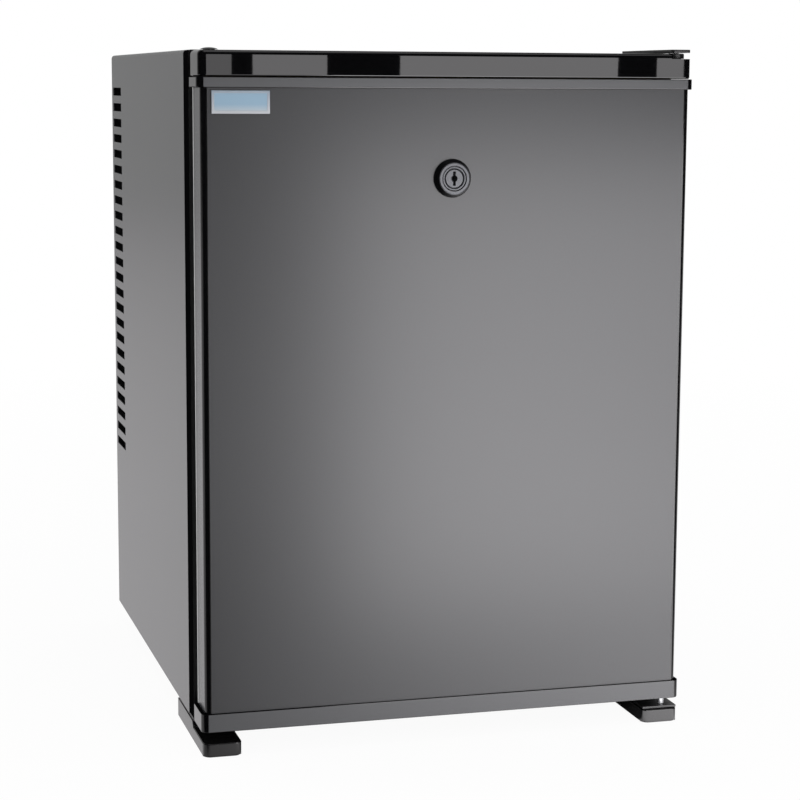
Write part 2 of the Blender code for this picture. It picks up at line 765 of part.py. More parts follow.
def make_cabinet():
    screw_holes = [screw_form("hinge_screw_hole_%d" % number, depth, SEAT_GAP)
                   for number, depth in enumerate(SCREW_DEPTHS, 1)]
    drain_hole = rod(
        "drain_hole", (DRAIN_X, (COMPARTMENT_BACK + BACK_PANEL) / 2, DRAIN_HEIGHT), "Y",
        DRAIN_RADIUS + SEAT_GAP, BACK_WALL + 2 * DRIP_TRAY_DEPTH, sides=SMALL_SIDES)
    boss_hole = block(
        "evaporator_boss_hole",
        (-BOSS_WIDTH / 2 - SEAT_GAP, BOSS_WIDTH / 2 + SEAT_GAP),
        (COMPARTMENT_BACK - CUT_OVERSHOOT, BOSS_BACK + SEAT_GAP),
        (EVAPORATOR_MIDDLE - BOSS_HEIGHT / 2 - SEAT_GAP,
         EVAPORATOR_MIDDLE + BOSS_HEIGHT / 2 + SEAT_GAP))
    hatch_hole = block(
        "hatch_hole",
        (-HATCH_WIDTH / 2, HATCH_WIDTH / 2),
        (BOSS_BACK, BACK_PANEL + CUT_OVERSHOOT),
        (EVAPORATOR_MIDDLE - HATCH_HEIGHT / 2, EVAPORATOR_MIDDLE + HATCH_HEIGHT / 2))
    bolt_hole = block(
        "bolt_hole",
        (-BOLT_WIDTH / 2 - KEEPER_SIDE_CLEARANCE, BOLT_WIDTH / 2 + KEEPER_SIDE_CLEARANCE),
        (BOLT_FRONT - KEEPER_DEPTH_CLEARANCE, BOLT_BACK + KEEPER_DEPTH_CLEARANCE),
        (MOUTH_TOP - CUT_OVERSHOOT, KEEPER_LOW + KEEPER_THICKNESS + CUT_OVERSHOOT))
    cut(make_wrap(), *screw_holes)
    make_pan()
    cut(make_back_panel(), hatch_hole, drain_hole)
    cut(make_foam(), boss_hole, hatch_hole, drain_hole, *screw_holes)
    cut(make_liner(), boss_hole, drain_hole)
    cut(make_front_frame(), bolt_hole)
    cut(make_keeper(), bolt_hole)
    make_rear_rails()


def make_wrap():
    """One folded sheet: left side, top and right side, with flanges below and behind each side."""
    wrap = block("cabinet_wrap", (-SIDE_X, SIDE_X), (WRAP_FRONT, CABINET_DEPTH),
                 (GROUND_CLEARANCE, CABINET_TOP), "painted_steel")
    shape = bmesh.new()
    shape.from_mesh(wrap.data)
    shape.normal_update()
    unwanted = [face for face in shape.faces
                if abs(face.normal.y) > 0.9 or face.normal.z < -0.9]
    bmesh.ops.delete(shape, geom=unwanted, context="FACES")
    hems = [edge for edge in shape.edges
            if edge.is_boundary and all(corner.co.z < 0 for corner in edge.verts)]
    folded = bmesh.ops.extrude_edge_only(shape, edges=hems)
    for corner in folded["geom"]:
        if isinstance(corner, bmesh.types.BMVert):
            corner.co.x -= math.copysign(WRAP_FLANGE, corner.co.x)
    bmesh.ops.recalc_face_normals(shape, faces=shape.faces)
    roof = max(shape.faces, key=lambda face: face.calc_center_median().z)
    if roof.normal.z < 0:
        bmesh.ops.reverse_faces(shape, faces=shape.faces)
    shape.to_mesh(wrap.data)
    shape.free()
    round_edges(wrap, WRAP_CORNER_RADIUS)
    thicken(wrap, SHEET)
    slot_back = CABINET_DEPTH - SLOT_REAR_MARGIN
    slot_middle = CABINET_TOP - SLOT_TOP_MARGIN
    slots = block(
        "vent_slots",
        (-SIDE_X - CUT_OVERSHOOT, SIDE_X + CUT_OVERSHOOT),
        (slot_back - SLOT_LENGTH, slot_back),
        (slot_middle - SLOT_HEIGHT / 2, slot_middle + SLOT_HEIGHT / 2))
    repeat(slots, SLOT_COUNT, (0, 0, -SLOT_PITCH))
    flange_back = CABINET_DEPTH - REAR_FLANGE_INSET
    for side, name in ((-1, "left_rear_flange"), (1, "right_rear_flange")):
        reach = sorted((side * (SIDE_X - REAR_FLANGE), side * (SIDE_X - WELD_DEPTH)))
        flange = block(
            name, reach, (flange_back - SHEET, flange_back),
            (GROUND_CLEARANCE + REAR_FLANGE_MARGIN, CABINET_TOP - REAR_FLANGE_MARGIN))
        fuse(wrap, flange)
    return cut(wrap, slots)


def make_pan():
    """A flat pan on the wrap's flanges, stiffened by pressed beads."""
    half = SIDE_X - WRAP_CORNER_RADIUS
    pan = block("base_pan", (-half, half), (WRAP_FRONT, FOAM_BACK), (PAN_LOW, PAN_LOW + SHEET),
                "zinc_steel")
    middle = (WRAP_FRONT + FOAM_BACK) / 2
    first = -PAN_BEAD_SPACING * (PAN_BEAD_COUNT - 1) / 2
    bead = block(
        "pan_beads",
        (first - PAN_BEAD_WIDTH / 2, first + PAN_BEAD_WIDTH / 2),
        (middle - PAN_BEAD_LENGTH / 2, middle + PAN_BEAD_LENGTH / 2),
        (PAN_LOW - PAN_BEAD_HEIGHT, PAN_LOW + SHEET / 2))
    round_edges(bead, PAN_BEAD_HEIGHT / 2, where=lambda middle_point: middle_point.z < 0, steps=1)
    repeat(bead, PAN_BEAD_COUNT, (PAN_BEAD_SPACING, 0, 0))
    return fuse(pan, bead)


def make_back_panel():
    return open_box(
        "back_panel", (-INSIDE_X, INSIDE_X), (BACK_PANEL - SHEET, BACK_PANEL + BACK_FLANGE),
        (FOAM_LOW, INSIDE_TOP), ["+Y"], SHEET, "zinc_steel", corner=WRAP_CORNER_RADIUS)


def make_foam():
    """Foam that fills the walls, with a tongue that reaches forward into the front frame."""
    foam = block("foam_insulation", (-INSIDE_X, INSIDE_X), (WRAP_FRONT, FOAM_BACK),
                 (FOAM_LOW, INSIDE_TOP), "foam")
    round_edges(foam, WRAP_CORNER_RADIUS, along="Y")
    shell = FRAME_WALL + SEAT_GAP
    tongue = ring(
        "foam_tongue",
        (-SIDE_X + shell, SIDE_X - shell),
        (FRAME_FRONT + shell, WRAP_FRONT + WELD_DEPTH),
        (GROUND_CLEARANCE + shell, CABINET_TOP - shell),
        SIDE_WALL - 2 * shell)
    reach = LINER_WALL + SEAT_GAP
    room = block(
        "foam_room",
        (-MOUTH_X - reach, MOUTH_X + reach),
        (FRAME_FRONT, COMPARTMENT_BACK + reach),
        (MOUTH_LOW - reach, MOUTH_TOP + reach))
    round_edges(room, MOUTH_CORNER_RADIUS + reach, where=lambda middle: middle.y > -0.001)
    mouth = block(
        "foam_mouth",
        (-MOUTH_X - shell, MOUTH_X + shell),
        (FRAME_FRONT, WRAP_FRONT),
        (MOUTH_LOW - shell, MOUTH_TOP + shell))
    pocket = block(
        "keeper_pocket",
        (-KEEPER_WIDTH / 2 - SEAT_GAP, KEEPER_WIDTH / 2 + SEAT_GAP),
        (FRAME_FRONT, WRAP_FRONT),
        (MOUTH_TOP, KEEPER_LOW + KEEPER_POCKET))
    return cut(fuse(foam, tongue), room, mouth, pocket)


def make_liner():
    """The white moulded room, with ledges for the shelves on both side walls."""
    liner = open_box(
        "inner_liner", (-MOUTH_X, MOUTH_X), (WRAP_FRONT, COMPARTMENT_BACK),
        (MOUTH_LOW, MOUTH_TOP), ["-Y"], LINER_WALL, "white_plastic", outward=True,
        corner=MOUTH_CORNER_RADIUS)
    for side, name in ((-1, "left_ledges"), (1, "right_ledges")):
        reach = sorted((side * (MOUTH_X - LEDGE_REACH), side * (MOUTH_X + WELD_DEPTH)))
        ledge = block(
            name, reach,
            (WRAP_FRONT + LEDGE_FRONT_SETBACK, COMPARTMENT_BACK - LEDGE_BACK_SETBACK),
            (ledge_height(0) - LEDGE_THICKNESS, ledge_height(0)))
        repeat(ledge, LEDGE_COUNT, (0, 0, LEDGE_RISE))
        fuse(liner, ledge)
    return liner


def ledge_height(number):
    return MOUTH_LOW + LEDGE_FIRST_HEIGHT + number * LEDGE_RISE


def make_front_frame():
    """Black moulded frame round the mouth, hollow at the back like a channel."""
    frame = ring(
        "front_frame", (-SIDE_X, SIDE_X), (FRAME_FRONT, WRAP_FRONT - SEAT_GAP),
        (GROUND_CLEARANCE, CABINET_TOP), SIDE_WALL, "satin_black_plastic",
        corner=WRAP_CORNER_RADIUS)
    trim_mouth = block(
        "frame_mouth", (-MOUTH_X, MOUTH_X),
        (FRAME_FRONT - CUT_OVERSHOOT, WRAP_FRONT + CUT_OVERSHOOT), (MOUTH_LOW, MOUTH_TOP))
    channel = ring(
        "frame_channel",
        (-SIDE_X + FRAME_WALL, SIDE_X - FRAME_WALL),
        (FRAME_FRONT + FRAME_WALL, WRAP_FRONT + CUT_OVERSHOOT),
        (GROUND_CLEARANCE + FRAME_WALL, CABINET_TOP - FRAME_WALL),
        SIDE_WALL - 2 * FRAME_WALL)
    return cut(frame, trim_mouth, channel)


def make_keeper():
    return block(
        "bolt_keeper", (-KEEPER_WIDTH / 2, KEEPER_WIDTH / 2),
        (FRAME_FRONT + FRAME_WALL + SEAT_GAP, WRAP_FRONT - SEAT_GAP),
        (KEEPER_LOW, KEEPER_LOW + KEEPER_THICKNESS), "zinc_steel")


def make_rear_rails():
    """Folded channels on the wrap's rear flanges, which hold the two sides apart."""
    back = CABINET_DEPTH - REAR_FLANGE_INSET - SHEET - SEAT_GAP
    levels = {
        "rear_rail_upper": INSIDE_TOP - UPPER_RAIL_DROP - RAIL_HEIGHT,
        "rear_rail_lower": GROUND_CLEARANCE + LOWER_RAIL_RISE,
    }
    for name, low in levels.items():
        open_box(name, (-INSIDE_X, INSIDE_X), (back - RAIL_DEPTH, back),
                 (low, low + RAIL_HEIGHT), ["-Y"], SHEET, "zinc_steel")


# Compartment fittings

def make_compartment():
    make_evaporator()
    make_hatch_plug()
    make_drip_tray()
    make_drain_tube()
    make_control_housing()
    make_shelf("shelf_lower", LOWER_SHELF_LEDGE)
    make_shelf("shelf_upper", UPPER_SHELF_LEDGE)


def make_evaporator():
    """Aluminium extrusion with upright fins, clamped through the back wall by its boss."""
    half = EVAPORATOR_WIDTH / 2
    root = EVAPORATOR_BACK - EVAPORATOR_BASE
    levels = (EVAPORATOR_LOW, EVAPORATOR_TOP)
    base = block("evaporator_fins", (-half, half), (root, EVAPORATOR_BACK), levels, "aluminium")
    fins = block("evaporator_comb", (-half, -half + FIN_THICKNESS),
                 (root - FIN_DEPTH, root + WELD_DEPTH), levels)
    repeat(fins, FIN_COUNT, ((EVAPORATOR_WIDTH - FIN_THICKNESS) / (FIN_COUNT - 1), 0, 0))
    boss = block(
        "evaporator_boss", (-BOSS_WIDTH / 2, BOSS_WIDTH / 2),
        (EVAPORATOR_BACK - WELD_DEPTH, BOSS_BACK),
        (EVAPORATOR_MIDDLE - BOSS_HEIGHT / 2, EVAPORATOR_MIDDLE + BOSS_HEIGHT / 2))
    return fuse(base, fins, boss)


def make_hatch_plug():
    """Insulating plug with a cover flange, which the cooling unit's pipes pass into."""
    half_width = HATCH_WIDTH / 2
    half_height = HATCH_HEIGHT / 2
    plug = block(
        "hatch_plug",
        (-half_width + SEAT_GAP, half_width - SEAT_GAP),
        (BOSS_BACK + SEAT_GAP, BACK_SEAT + HATCH_COVER / 2),
        (EVAPORATOR_MIDDLE - half_height + SEAT_GAP, EVAPORATOR_MIDDLE + half_height - SEAT_GAP),
        "satin_black_plastic")
    cover = block(
        "hatch_cover",
        (-half_width - HATCH_FLANGE, half_width + HATCH_FLANGE),
        (BACK_SEAT, BACK_SEAT + HATCH_COVER),
        (EVAPORATOR_MIDDLE - half_height - HATCH_FLANGE,
         EVAPORATOR_MIDDLE + half_height + HATCH_FLANGE))
    round_edges(cover, HATCH_CORNER_RADIUS, along="Y")
    sockets = [
        pipe_socket("gas_pipe_socket", GAS_PIPE_X, HATCH_PIPE_HEIGHT, GAS_PIPE_RADIUS),
        pipe_socket("return_pipe_socket", RETURN_PIPE_X, HATCH_PIPE_HEIGHT, RETURN_PIPE_RADIUS),
        pipe_socket("liquid_pipe_socket", LIQUID_PIPE_X, LIQUID_PIPE_HEIGHT, LIQUID_PIPE_RADIUS),
    ]
    return cut(fuse(plug, cover), *sockets)


def pipe_socket(name, x, height, radius):
    start = BACK_PANEL - PIPE_INSERTION - SEAT_GAP
    end = BACK_SEAT + HATCH_COVER + CUT_OVERSHOOT
    return rod(name, (x, (start + end) / 2, height), "Y", radius + SEAT_GAP, end - start,
               sides=MEDIUM_SIDES)


def make_drip_tray():
    tray = open_box(
        "drip_tray", (-DRIP_TRAY_WIDTH / 2, DRIP_TRAY_WIDTH / 2),
        (COMPARTMENT_BACK - SEAT_GAP - DRIP_TRAY_DEPTH, COMPARTMENT_BACK - SEAT_GAP),
        (TRAY_LOW, TRAY_TOP), ["+Z"], DRIP_TRAY_WALL, "white_plastic")
    return cut(tray, bpy.data.objects["drain_hole"])


def make_drain_tube():
    route = rounded_route(
        [(DRAIN_X, COMPARTMENT_BACK - SEAT_GAP - DRIP_TRAY_WALL, DRAIN_HEIGHT),
         (DRAIN_X, NEAR_PIPE_DEPTH, DRAIN_HEIGHT),
         (DRAIN_X, NEAR_PIPE_DEPTH, CUP_FLOOR_TOP + DRAIN_HANG)],
        DRAIN_BEND_RADIUS)
    return tube("drain_tube", route, DRAIN_RADIUS, "gasket_rubber", resolution=WIRE_RESOLUTION)


def make_control_housing():
    """White housing for the lamp and the thermostat, fixed to the ceiling."""
    housing = block(
        "control_housing", (CONTROL_RIGHT - CONTROL_WIDTH, CONTROL_RIGHT),
        (CONTROL_FRONT, CONTROL_FRONT + CONTROL_DEPTH), (CONTROL_LOW, CONTROL_LOW + CONTROL_HEIGHT),
        "white_plastic")
    round_edges(housing, CONTROL_EDGE_RADIUS, where=lambda middle: middle.z < 0.001)
    left = CONTROL_RIGHT - CONTROL_WIDTH + LENS_MARGIN
    lens_xs = (left, left + LENS_WIDTH)
    lens_depths = (CONTROL_FRONT + LENS_MARGIN, CONTROL_FRONT + CONTROL_DEPTH - LENS_MARGIN)
    lens_low = CONTROL_LOW - LENS_PROUD
    lens = block("lamp_lens", lens_xs, lens_depths, (lens_low, lens_low + LENS_THICKNESS),
                 "lamp_plastic")
    round_edges(lens, LENS_EDGE_RADIUS, where=lambda middle: middle.z < -0.001, steps=2)
    seat = block(
        "lamp_seat",
        (lens_xs[0] - SEAT_GAP, lens_xs[1] + SEAT_GAP),
        (lens_depths[0] - SEAT_GAP, lens_depths[1] + SEAT_GAP),
        (CONTROL_LOW - CUT_OVERSHOOT, lens_low + LENS_THICKNESS + SEAT_GAP))
    spindle_hole = rod(
        "spindle_hole", (KNOB_X, KNOB_DEPTH, CONTROL_LOW), "Z", SPINDLE_RADIUS + SEAT_GAP,
        2 * (SPINDLE_LENGTH + SEAT_GAP), sides=MEDIUM_SIDES)
    return cut(housing, seat, spindle_hole)


def make_shelf(name, ledge):
    """Plastic-coated wire shelf whose side rails lie on a pair of ledges."""
    height = ledge_height(ledge) + SEAT_GAP + SHELF_RAIL_RADIUS
    half = MOUTH_X - SHELF_SIDE_CLEARANCE - SHELF_RAIL_RADIUS
    front = WRAP_FRONT + SHELF_FRONT_SETBACK
    back = COMPARTMENT_BACK - LEDGE_BACK_SETBACK
    loop = rounded_route(
        [(-half, front, height), (half, front, height), (half, back, height),
         (-half, back, height)],
        SHELF_CORNER_RADIUS, closed=True)
    shelf = tube(name, loop, SHELF_RAIL_RADIUS, "white_wire", closed=True,
                 resolution=WIRE_RESOLUTION)
    middle = (front + back) / 2
    bar = rod(name + "_bar", (0, middle, height), "X", SHELF_RAIL_RADIUS, 2 * half,
              sides=WIRE_SIDES)
    spacing = 2 * half / (SHELF_WIRE_COUNT + 1)
    top = height + SHELF_RAIL_RADIUS + SHELF_WIRE_RADIUS - WELD_DEPTH
    wires = rod(
        name + "_wires", (-half + spacing, middle, top), "Y", SHELF_WIRE_RADIUS,
        back - front + SHELF_RAIL_RADIUS, sides=WIRE_SIDES)
    repeat(wires, SHELF_WIRE_COUNT, (spacing, 0, 0))
    return fuse(shelf, bar, wires)


# Absorption cooling unit in the rear cavity

def make_cooling_unit():
    vessel_form = rod(
        "vessel_clearance", ((VESSEL_LEFT + VESSEL_RIGHT) / 2, UNIT_DEPTH, VESSEL_HEIGHT), "X",
        VESSEL_RADIUS + SEAT_GAP, VESSEL_RIGHT - VESSEL_LEFT)
    make_condenser()
    make_boiler()
    make_upper_pipes()
    cut(make_coil(), vessel_form)
    cut(make_return_pipe(), vessel_form)
    make_vessel()
    cut(make_cradle(), vessel_form)
    cut(make_cup(), vessel_form)
    make_terminal_box()


def make_condenser():
    """Tube with a row of square fins, which gives off the heat at the top of the cavity."""
    middle = (CONDENSER_LEFT + CONDENSER_RIGHT) / 2
    condenser = rod(
        "condenser", (middle, UNIT_DEPTH, CONDENSER_HEIGHT), "X", CONDENSER_TUBE_RADIUS,
        CONDENSER_RIGHT - CONDENSER_LEFT, "black_pipe", sides=TUBE_SIDES)
    first = CONDENSER_LEFT + CONDENSER_END_MARGIN
    last = CONDENSER_RIGHT - CONDENSER_END_MARGIN
    fins = block(
        "condenser_fins",
        (first - CONDENSER_FIN_THICKNESS / 2, first + CONDENSER_FIN_THICKNESS / 2),
        (UNIT_DEPTH - CONDENSER_FIN_DEPTH / 2, UNIT_DEPTH + CONDENSER_FIN_DEPTH / 2),
        (CONDENSER_HEIGHT - CONDENSER_FIN_HEIGHT / 2, CONDENSER_HEIGHT + CONDENSER_FIN_HEIGHT / 2))
    repeat(fins, CONDENSER_FIN_COUNT, ((last - first) / (CONDENSER_FIN_COUNT - 1), 0, 0))
    return fuse(condenser, fins)


def make_boiler():
    """Sheet-metal can round the boiler, with a beaded lid and a cone for the outlet."""
    bead = BOILER_TOP - BOILER_LID_HEIGHT
    profile = [
        (0, BOILER_TOP + BOILER_CONE),
        (BOILER_NECK_RADIUS, BOILER_TOP + BOILER_CONE),
        (BOILER_RADIUS, BOILER_TOP),
        (BOILER_RADIUS, bead + BOILER_BEAD_HALF_WIDTH),
        (BOILER_RADIUS + BOILER_BEAD, bead),
        (BOILER_RADIUS, bead - BOILER_BEAD_HALF_WIDTH),
        (BOILER_RADIUS, BOILER_LOW),
        (0, BOILER_LOW),
    ]
    turned("boiler_casing", (BOILER_X, UNIT_DEPTH, 0), "Z", profile, "zinc_steel")
    strap = rod("boiler_strap", (BOILER_X, UNIT_DEPTH, STRAP_HEIGHT), "Z",
                BOILER_RADIUS + SEAT_GAP + STRAP_THICKNESS, STRAP_WIDTH, "zinc_steel")
    tab = block(
        "strap_tab",
        (BOILER_X - STRAP_TAB_WIDTH / 2, BOILER_X + STRAP_TAB_WIDTH / 2),
        (BACK_SEAT, UNIT_DEPTH - BOILER_RADIUS / 2),
        (STRAP_HEIGHT - STRAP_WIDTH / 2, STRAP_HEIGHT + STRAP_WIDTH / 2))
    bore = rod("strap_bore", (BOILER_X, UNIT_DEPTH, STRAP_HEIGHT), "Z",
               BOILER_RADIUS + SEAT_GAP, 2 * STRAP_WIDTH)
    cut(fuse(strap, tab), bore)


def make_upper_pipes():
    rectifier = rounded_route(
        [(BOILER_X, UNIT_DEPTH, BOILER_TOP + BOILER_CONE + SEAT_GAP),
         (BOILER_X, UNIT_DEPTH, CONDENSER_HEIGHT),
         (CONDENSER_RIGHT + SEAT_GAP, UNIT_DEPTH, CONDENSER_HEIGHT)],
        PIPE_BEND_RADIUS)
    tube("rectifier_tube", rectifier, RECTIFIER_RADIUS, "black_pipe")
    inside = BACK_PANEL - PIPE_INSERTION
    corner_x = CONDENSER_LEFT - LIQUID_PIPE_REACH
    liquid = rounded_route(
        [(CONDENSER_LEFT - SEAT_GAP, UNIT_DEPTH, CONDENSER_HEIGHT),
         (corner_x, UNIT_DEPTH, CONDENSER_HEIGHT),
         (corner_x, UNIT_DEPTH, LIQUID_PIPE_HEIGHT),
         (LIQUID_PIPE_X, UNIT_DEPTH, LIQUID_PIPE_HEIGHT),
         (LIQUID_PIPE_X, inside, LIQUID_PIPE_HEIGHT)],
        PIPE_BEND_RADIUS)
    tube("liquid_pipe", liquid, LIQUID_PIPE_RADIUS, "black_pipe")
    gas = rounded_route(
        [(GAS_PIPE_X, inside, HATCH_PIPE_HEIGHT),
         (GAS_PIPE_X, UNIT_DEPTH, HATCH_PIPE_HEIGHT),
         (GAS_PIPE_X, UNIT_DEPTH, GAS_PIPE_END)],
        GAS_PIPE_BEND_RADIUS)
    tube("gas_pipe", gas, GAS_PIPE_RADIUS, "black_pipe")


def make_coil():
    """Serpentine of sloping runs between the gas pipe and the absorber vessel."""
    corners = [(GAS_PIPE_X, UNIT_DEPTH, GAS_PIPE_END - SEAT_GAP)]
    start = GAS_PIPE_X
    for run in range(COIL_RUNS):
        height = COIL_LOW + (COIL_RUNS - 1 - run) * COIL_PITCH
        end = COIL_RIGHT if run % 2 else COIL_LEFT
        if run == COIL_RUNS - 1:
            end = COIL_OUTLET_X
        corners.append((start, UNIT_DEPTH, height + COIL_SLOPE / 2))
        corners.append((end, UNIT_DEPTH, height - COIL_SLOPE / 2))
        start = end
    corners.append((start, UNIT_DEPTH, VESSEL_HEIGHT + VESSEL_RADIUS / 2))
    return tube("absorber_coil", rounded_route(corners, PIPE_BEND_RADIUS), COIL_RADIUS,
                "black_pipe")


def make_return_pipe():
    route = rounded_route(
        [(RETURN_PIPE_X, BACK_PANEL - PIPE_INSERTION, HATCH_PIPE_HEIGHT),
         (RETURN_PIPE_X, NEAR_PIPE_DEPTH, HATCH_PIPE_HEIGHT),
         (RETURN_PIPE_X, NEAR_PIPE_DEPTH, VESSEL_HEIGHT + VESSEL_RADIUS / 2)],
        NEAR_PIPE_BEND_RADIUS)
    return tube("return_pipe", route, RETURN_PIPE_RADIUS, "black_pipe")


def make_vessel():
    """Round tank with domed ends, which collects the solution and leads it to the boiler."""
    half = (VESSEL_RIGHT - VESSEL_LEFT) / 2
    dome = []
    for step in range(VESSEL_DOME_STEPS + 1):
        angle = math.radians(90) * step / VESSEL_DOME_STEPS
        radius = VESSEL_END_FLAT + (VESSEL_RADIUS - VESSEL_END_FLAT) * math.sin(angle)
        dome.append((radius, half - VESSEL_DOME * (1 - math.cos(angle))))
    other = [(radius, -along) for radius, along in reversed(dome)]
    profile = [(0, half)] + dome + other + [(0, -half)]
    vessel = turned(
        "absorber_vessel", ((VESSEL_LEFT + VESSEL_RIGHT) / 2, UNIT_DEPTH, VESSEL_HEIGHT), "X",
        profile, "black_pipe")
    start = VESSEL_RIGHT - VESSEL_DOME
    outlet = rod("vessel_outlet", ((start + BOILER_X) / 2, UNIT_DEPTH, VESSEL_HEIGHT), "X",
                 SOLUTION_PIPE_RADIUS, BOILER_X - start, sides=SMALL_SIDES)
    boiler_form = rod("boiler_clearance", (BOILER_X, UNIT_DEPTH, VESSEL_HEIGHT), "Z",
                      BOILER_RADIUS + SEAT_GAP, 2 * VESSEL_RADIUS)
    return cut(fuse(vessel, outlet), boiler_form)


def make_cradle():
    """Folded bracket on the back panel, in whose two arms the vessel lies."""
    left = VESSEL_LEFT + CRADLE_INSET
    right = VESSEL_RIGHT - CRADLE_INSET
    cradle = block("vessel_cradle", (left, right), (BACK_SEAT, BACK_SEAT + CRADLE_THICKNESS),
                   (CRADLE_LOW, VESSEL_HEIGHT - CRADLE_THICKNESS), "zinc_steel")
    arm = block(
        "cradle_arms",
        (left - CRADLE_THICKNESS / 2, left + CRADLE_THICKNESS / 2),
        (BACK_SEAT, UNIT_DEPTH + CRADLE_REACH), (CRADLE_LOW, VESSEL_HEIGHT))
    repeat(arm, 2, (right - left, 0, 0))
    return fuse(cradle, arm)


def make_cup():
    """Small cup on the vessel, where the drained water evaporates."""
    xs = (DRAIN_X - CUP_WIDTH / 2, DRAIN_X + CUP_WIDTH / 2)
    depths = (BACK_PANEL + CUP_SETBACK, BACK_PANEL + CUP_SETBACK + CUP_DEPTH)
    cup = block("condensate_cup", xs, depths, (VESSEL_HEIGHT + CUP_SADDLE, CUP_TOP),
                "satin_black_plastic")
    bowl = block(
        "cup_bowl",
        (xs[0] + CUP_WALL, xs[1] - CUP_WALL),
        (depths[0] + CUP_WALL, depths[1] - CUP_WALL),
        (CUP_FLOOR_TOP, CUP_TOP + CUT_OVERSHOOT))
    return cut(cup, bowl)


def make_terminal_box():
    """Black box for the terminals and the thermostat's works, with the gland for the cord."""
    box = block(
        "terminal_box", (BOX_LEFT, BOX_LEFT + BOX_WIDTH), (BACK_SEAT, BACK_SEAT + BOX_DEPTH),
        (BOX_LOW, BOX_LOW + BOX_HEIGHT), "satin_black_plastic")
    round_edges(box, BOX_EDGE_RADIUS, where=lambda middle: middle.y > -0.001)
    x = BOX_LEFT + BOX_WIDTH / 2
    height = BOX_LOW + BOX_HEIGHT / 2
    face = BACK_SEAT + BOX_DEPTH
    bore = rod("gland_bore", (x, face, height), "Y", GLAND_BORE_RADIUS, 2 * GLAND_BORE_DEPTH,
               sides=MEDIUM_SIDES)
    cut(box, bore)
    profile = [
        (GLAND_NOSE_RADIUS, GLAND_LENGTH),
        (GLAND_NOSE_RADIUS, GLAND_FLANGE),
        (GLAND_RADIUS, GLAND_FLANGE),
        (GLAND_RADIUS, 0),
        (GLAND_BORE_RADIUS, 0),
        (GLAND_BORE_RADIUS, GLAND_LENGTH),
    ]
    turned("cord_gland", (x, face + SEAT_GAP, height), "Y", profile, "satin_black_plastic",
           sides=MEDIUM_SIDES, closed=True)


# Feet

def make_feet():
    left = foot_form("front_foot_left", -SIDE_X, FOOT_SEAT)
    right = foot_form("front_foot_right", SIDE_X - FOOT_WIDTH, LOWER_PLATE_SEAT - SEAT_GAP)
    for foot in (left, right):
        front = min(corner.co.y for corner in foot.data.vertices)
        round_edges(foot, FOOT_CORNER_RADIUS, along="Z",
                    where=lambda middle: middle.y < front + FOOT_CORNER_RADIUS)
    seat = rod(
        "bottom_pin_seat",
        (HINGE_X, HINGE_DEPTH, FOOT_FRONT_HEIGHT), "Z", BOTTOM_PIN_RADIUS + SEAT_GAP,
        2 * (BOTTOM_PIN_SEAT + SEAT_GAP), sides=MEDIUM_SIDES)
    cut(right, seat)
    profile = [
        (0, PAN_LOW - SEAT_GAP),
        (REAR_FOOT_RADIUS - REAR_FOOT_TAPER, PAN_LOW - SEAT_GAP),
        (REAR_FOOT_RADIUS, REAR_FOOT_TAPER),
        (REAR_FOOT_RADIUS - REAR_FOOT_TAPER / 2, 0),
        (0, 0),
    ]
    for side, x in (("left", -REAR_FOOT_X), ("right", REAR_FOOT_X)):
        turned("rear_foot_" + side, (x, FOAM_BACK - REAR_FOOT_SETBACK, 0), "Z", profile,
               "satin_black_plastic", sides=MEDIUM_SIDES)


def foot_form(name, left, seat):
    """A low moulded foot: thick under the cabinet, thinner where it runs out under the door."""
    front = -FOOT_FRONT_PROUD
    back = FOOT_LENGTH - FOOT_FRONT_PROUD
    step = FOOT_STEP_DEPTH + (FOOT_SEAT - seat) / 4
    outline = [
        (deep(front), 0),
        (deep(back), 0),
        (deep(back), seat),
        (deep(step + FOOT_STEP_SLOPE), seat),
        (deep(step), FOOT_FRONT_HEIGHT),
        (deep(front), FOOT_FRONT_HEIGHT),
    ]
    return plate(name, outline, "YZ", (left, left + FOOT_WIDTH), "satin_black_plastic")


# Hinge parts on the cabinet

def make_fixed_hinges():
    make_upper_hinge()
    make_lower_hinge()


def make_upper_hinge():
    right = SIDE_X - HINGE_PLATE_SIDE_STEP
    outline = [
        (right, deep(HINGE_PLATE_FRONT)),
        (right, deep(HINGE_PLATE_REAR)),
        (SIDE_X - HINGE_PLATE_WIDTH, deep(HINGE_PLATE_REAR)),
        (SIDE_X - HINGE_PLATE_WIDTH, deep(HINGE_PLATE_SHOULDER)),
        (SIDE_X - HINGE_PLATE_NOSE, deep(HINGE_PLATE_FRONT)),
    ]
    upper = plate("hinge_plate_top", outline, "XY",
                  (HINGE_PLATE_LOW, HINGE_PLATE_LOW + HINGE_PLATE), "black_pipe")
    round_edges(upper, WRAP_CORNER_RADIUS, along="Z")
    cut(upper, *(bpy.data.objects["hinge_screw_hole_%d" % number]
                 for number in range(1, len(SCREW_DEPTHS) + 1)))
    for number, depth in enumerate(SCREW_DEPTHS, 1):
        screw_form("hinge_screw_%d" % number, depth, 0, "zinc_steel")
    low = DOOR_TOP - TOP_PIN_REACH
    high = HINGE_PLATE_LOW - SEAT_GAP
    rod("hinge_pin_top", (HINGE_X, HINGE_DEPTH, (low + high) / 2), "Z", TOP_PIN_RADIUS,
        high - low, "zinc_steel", sides=MEDIUM_SIDES)


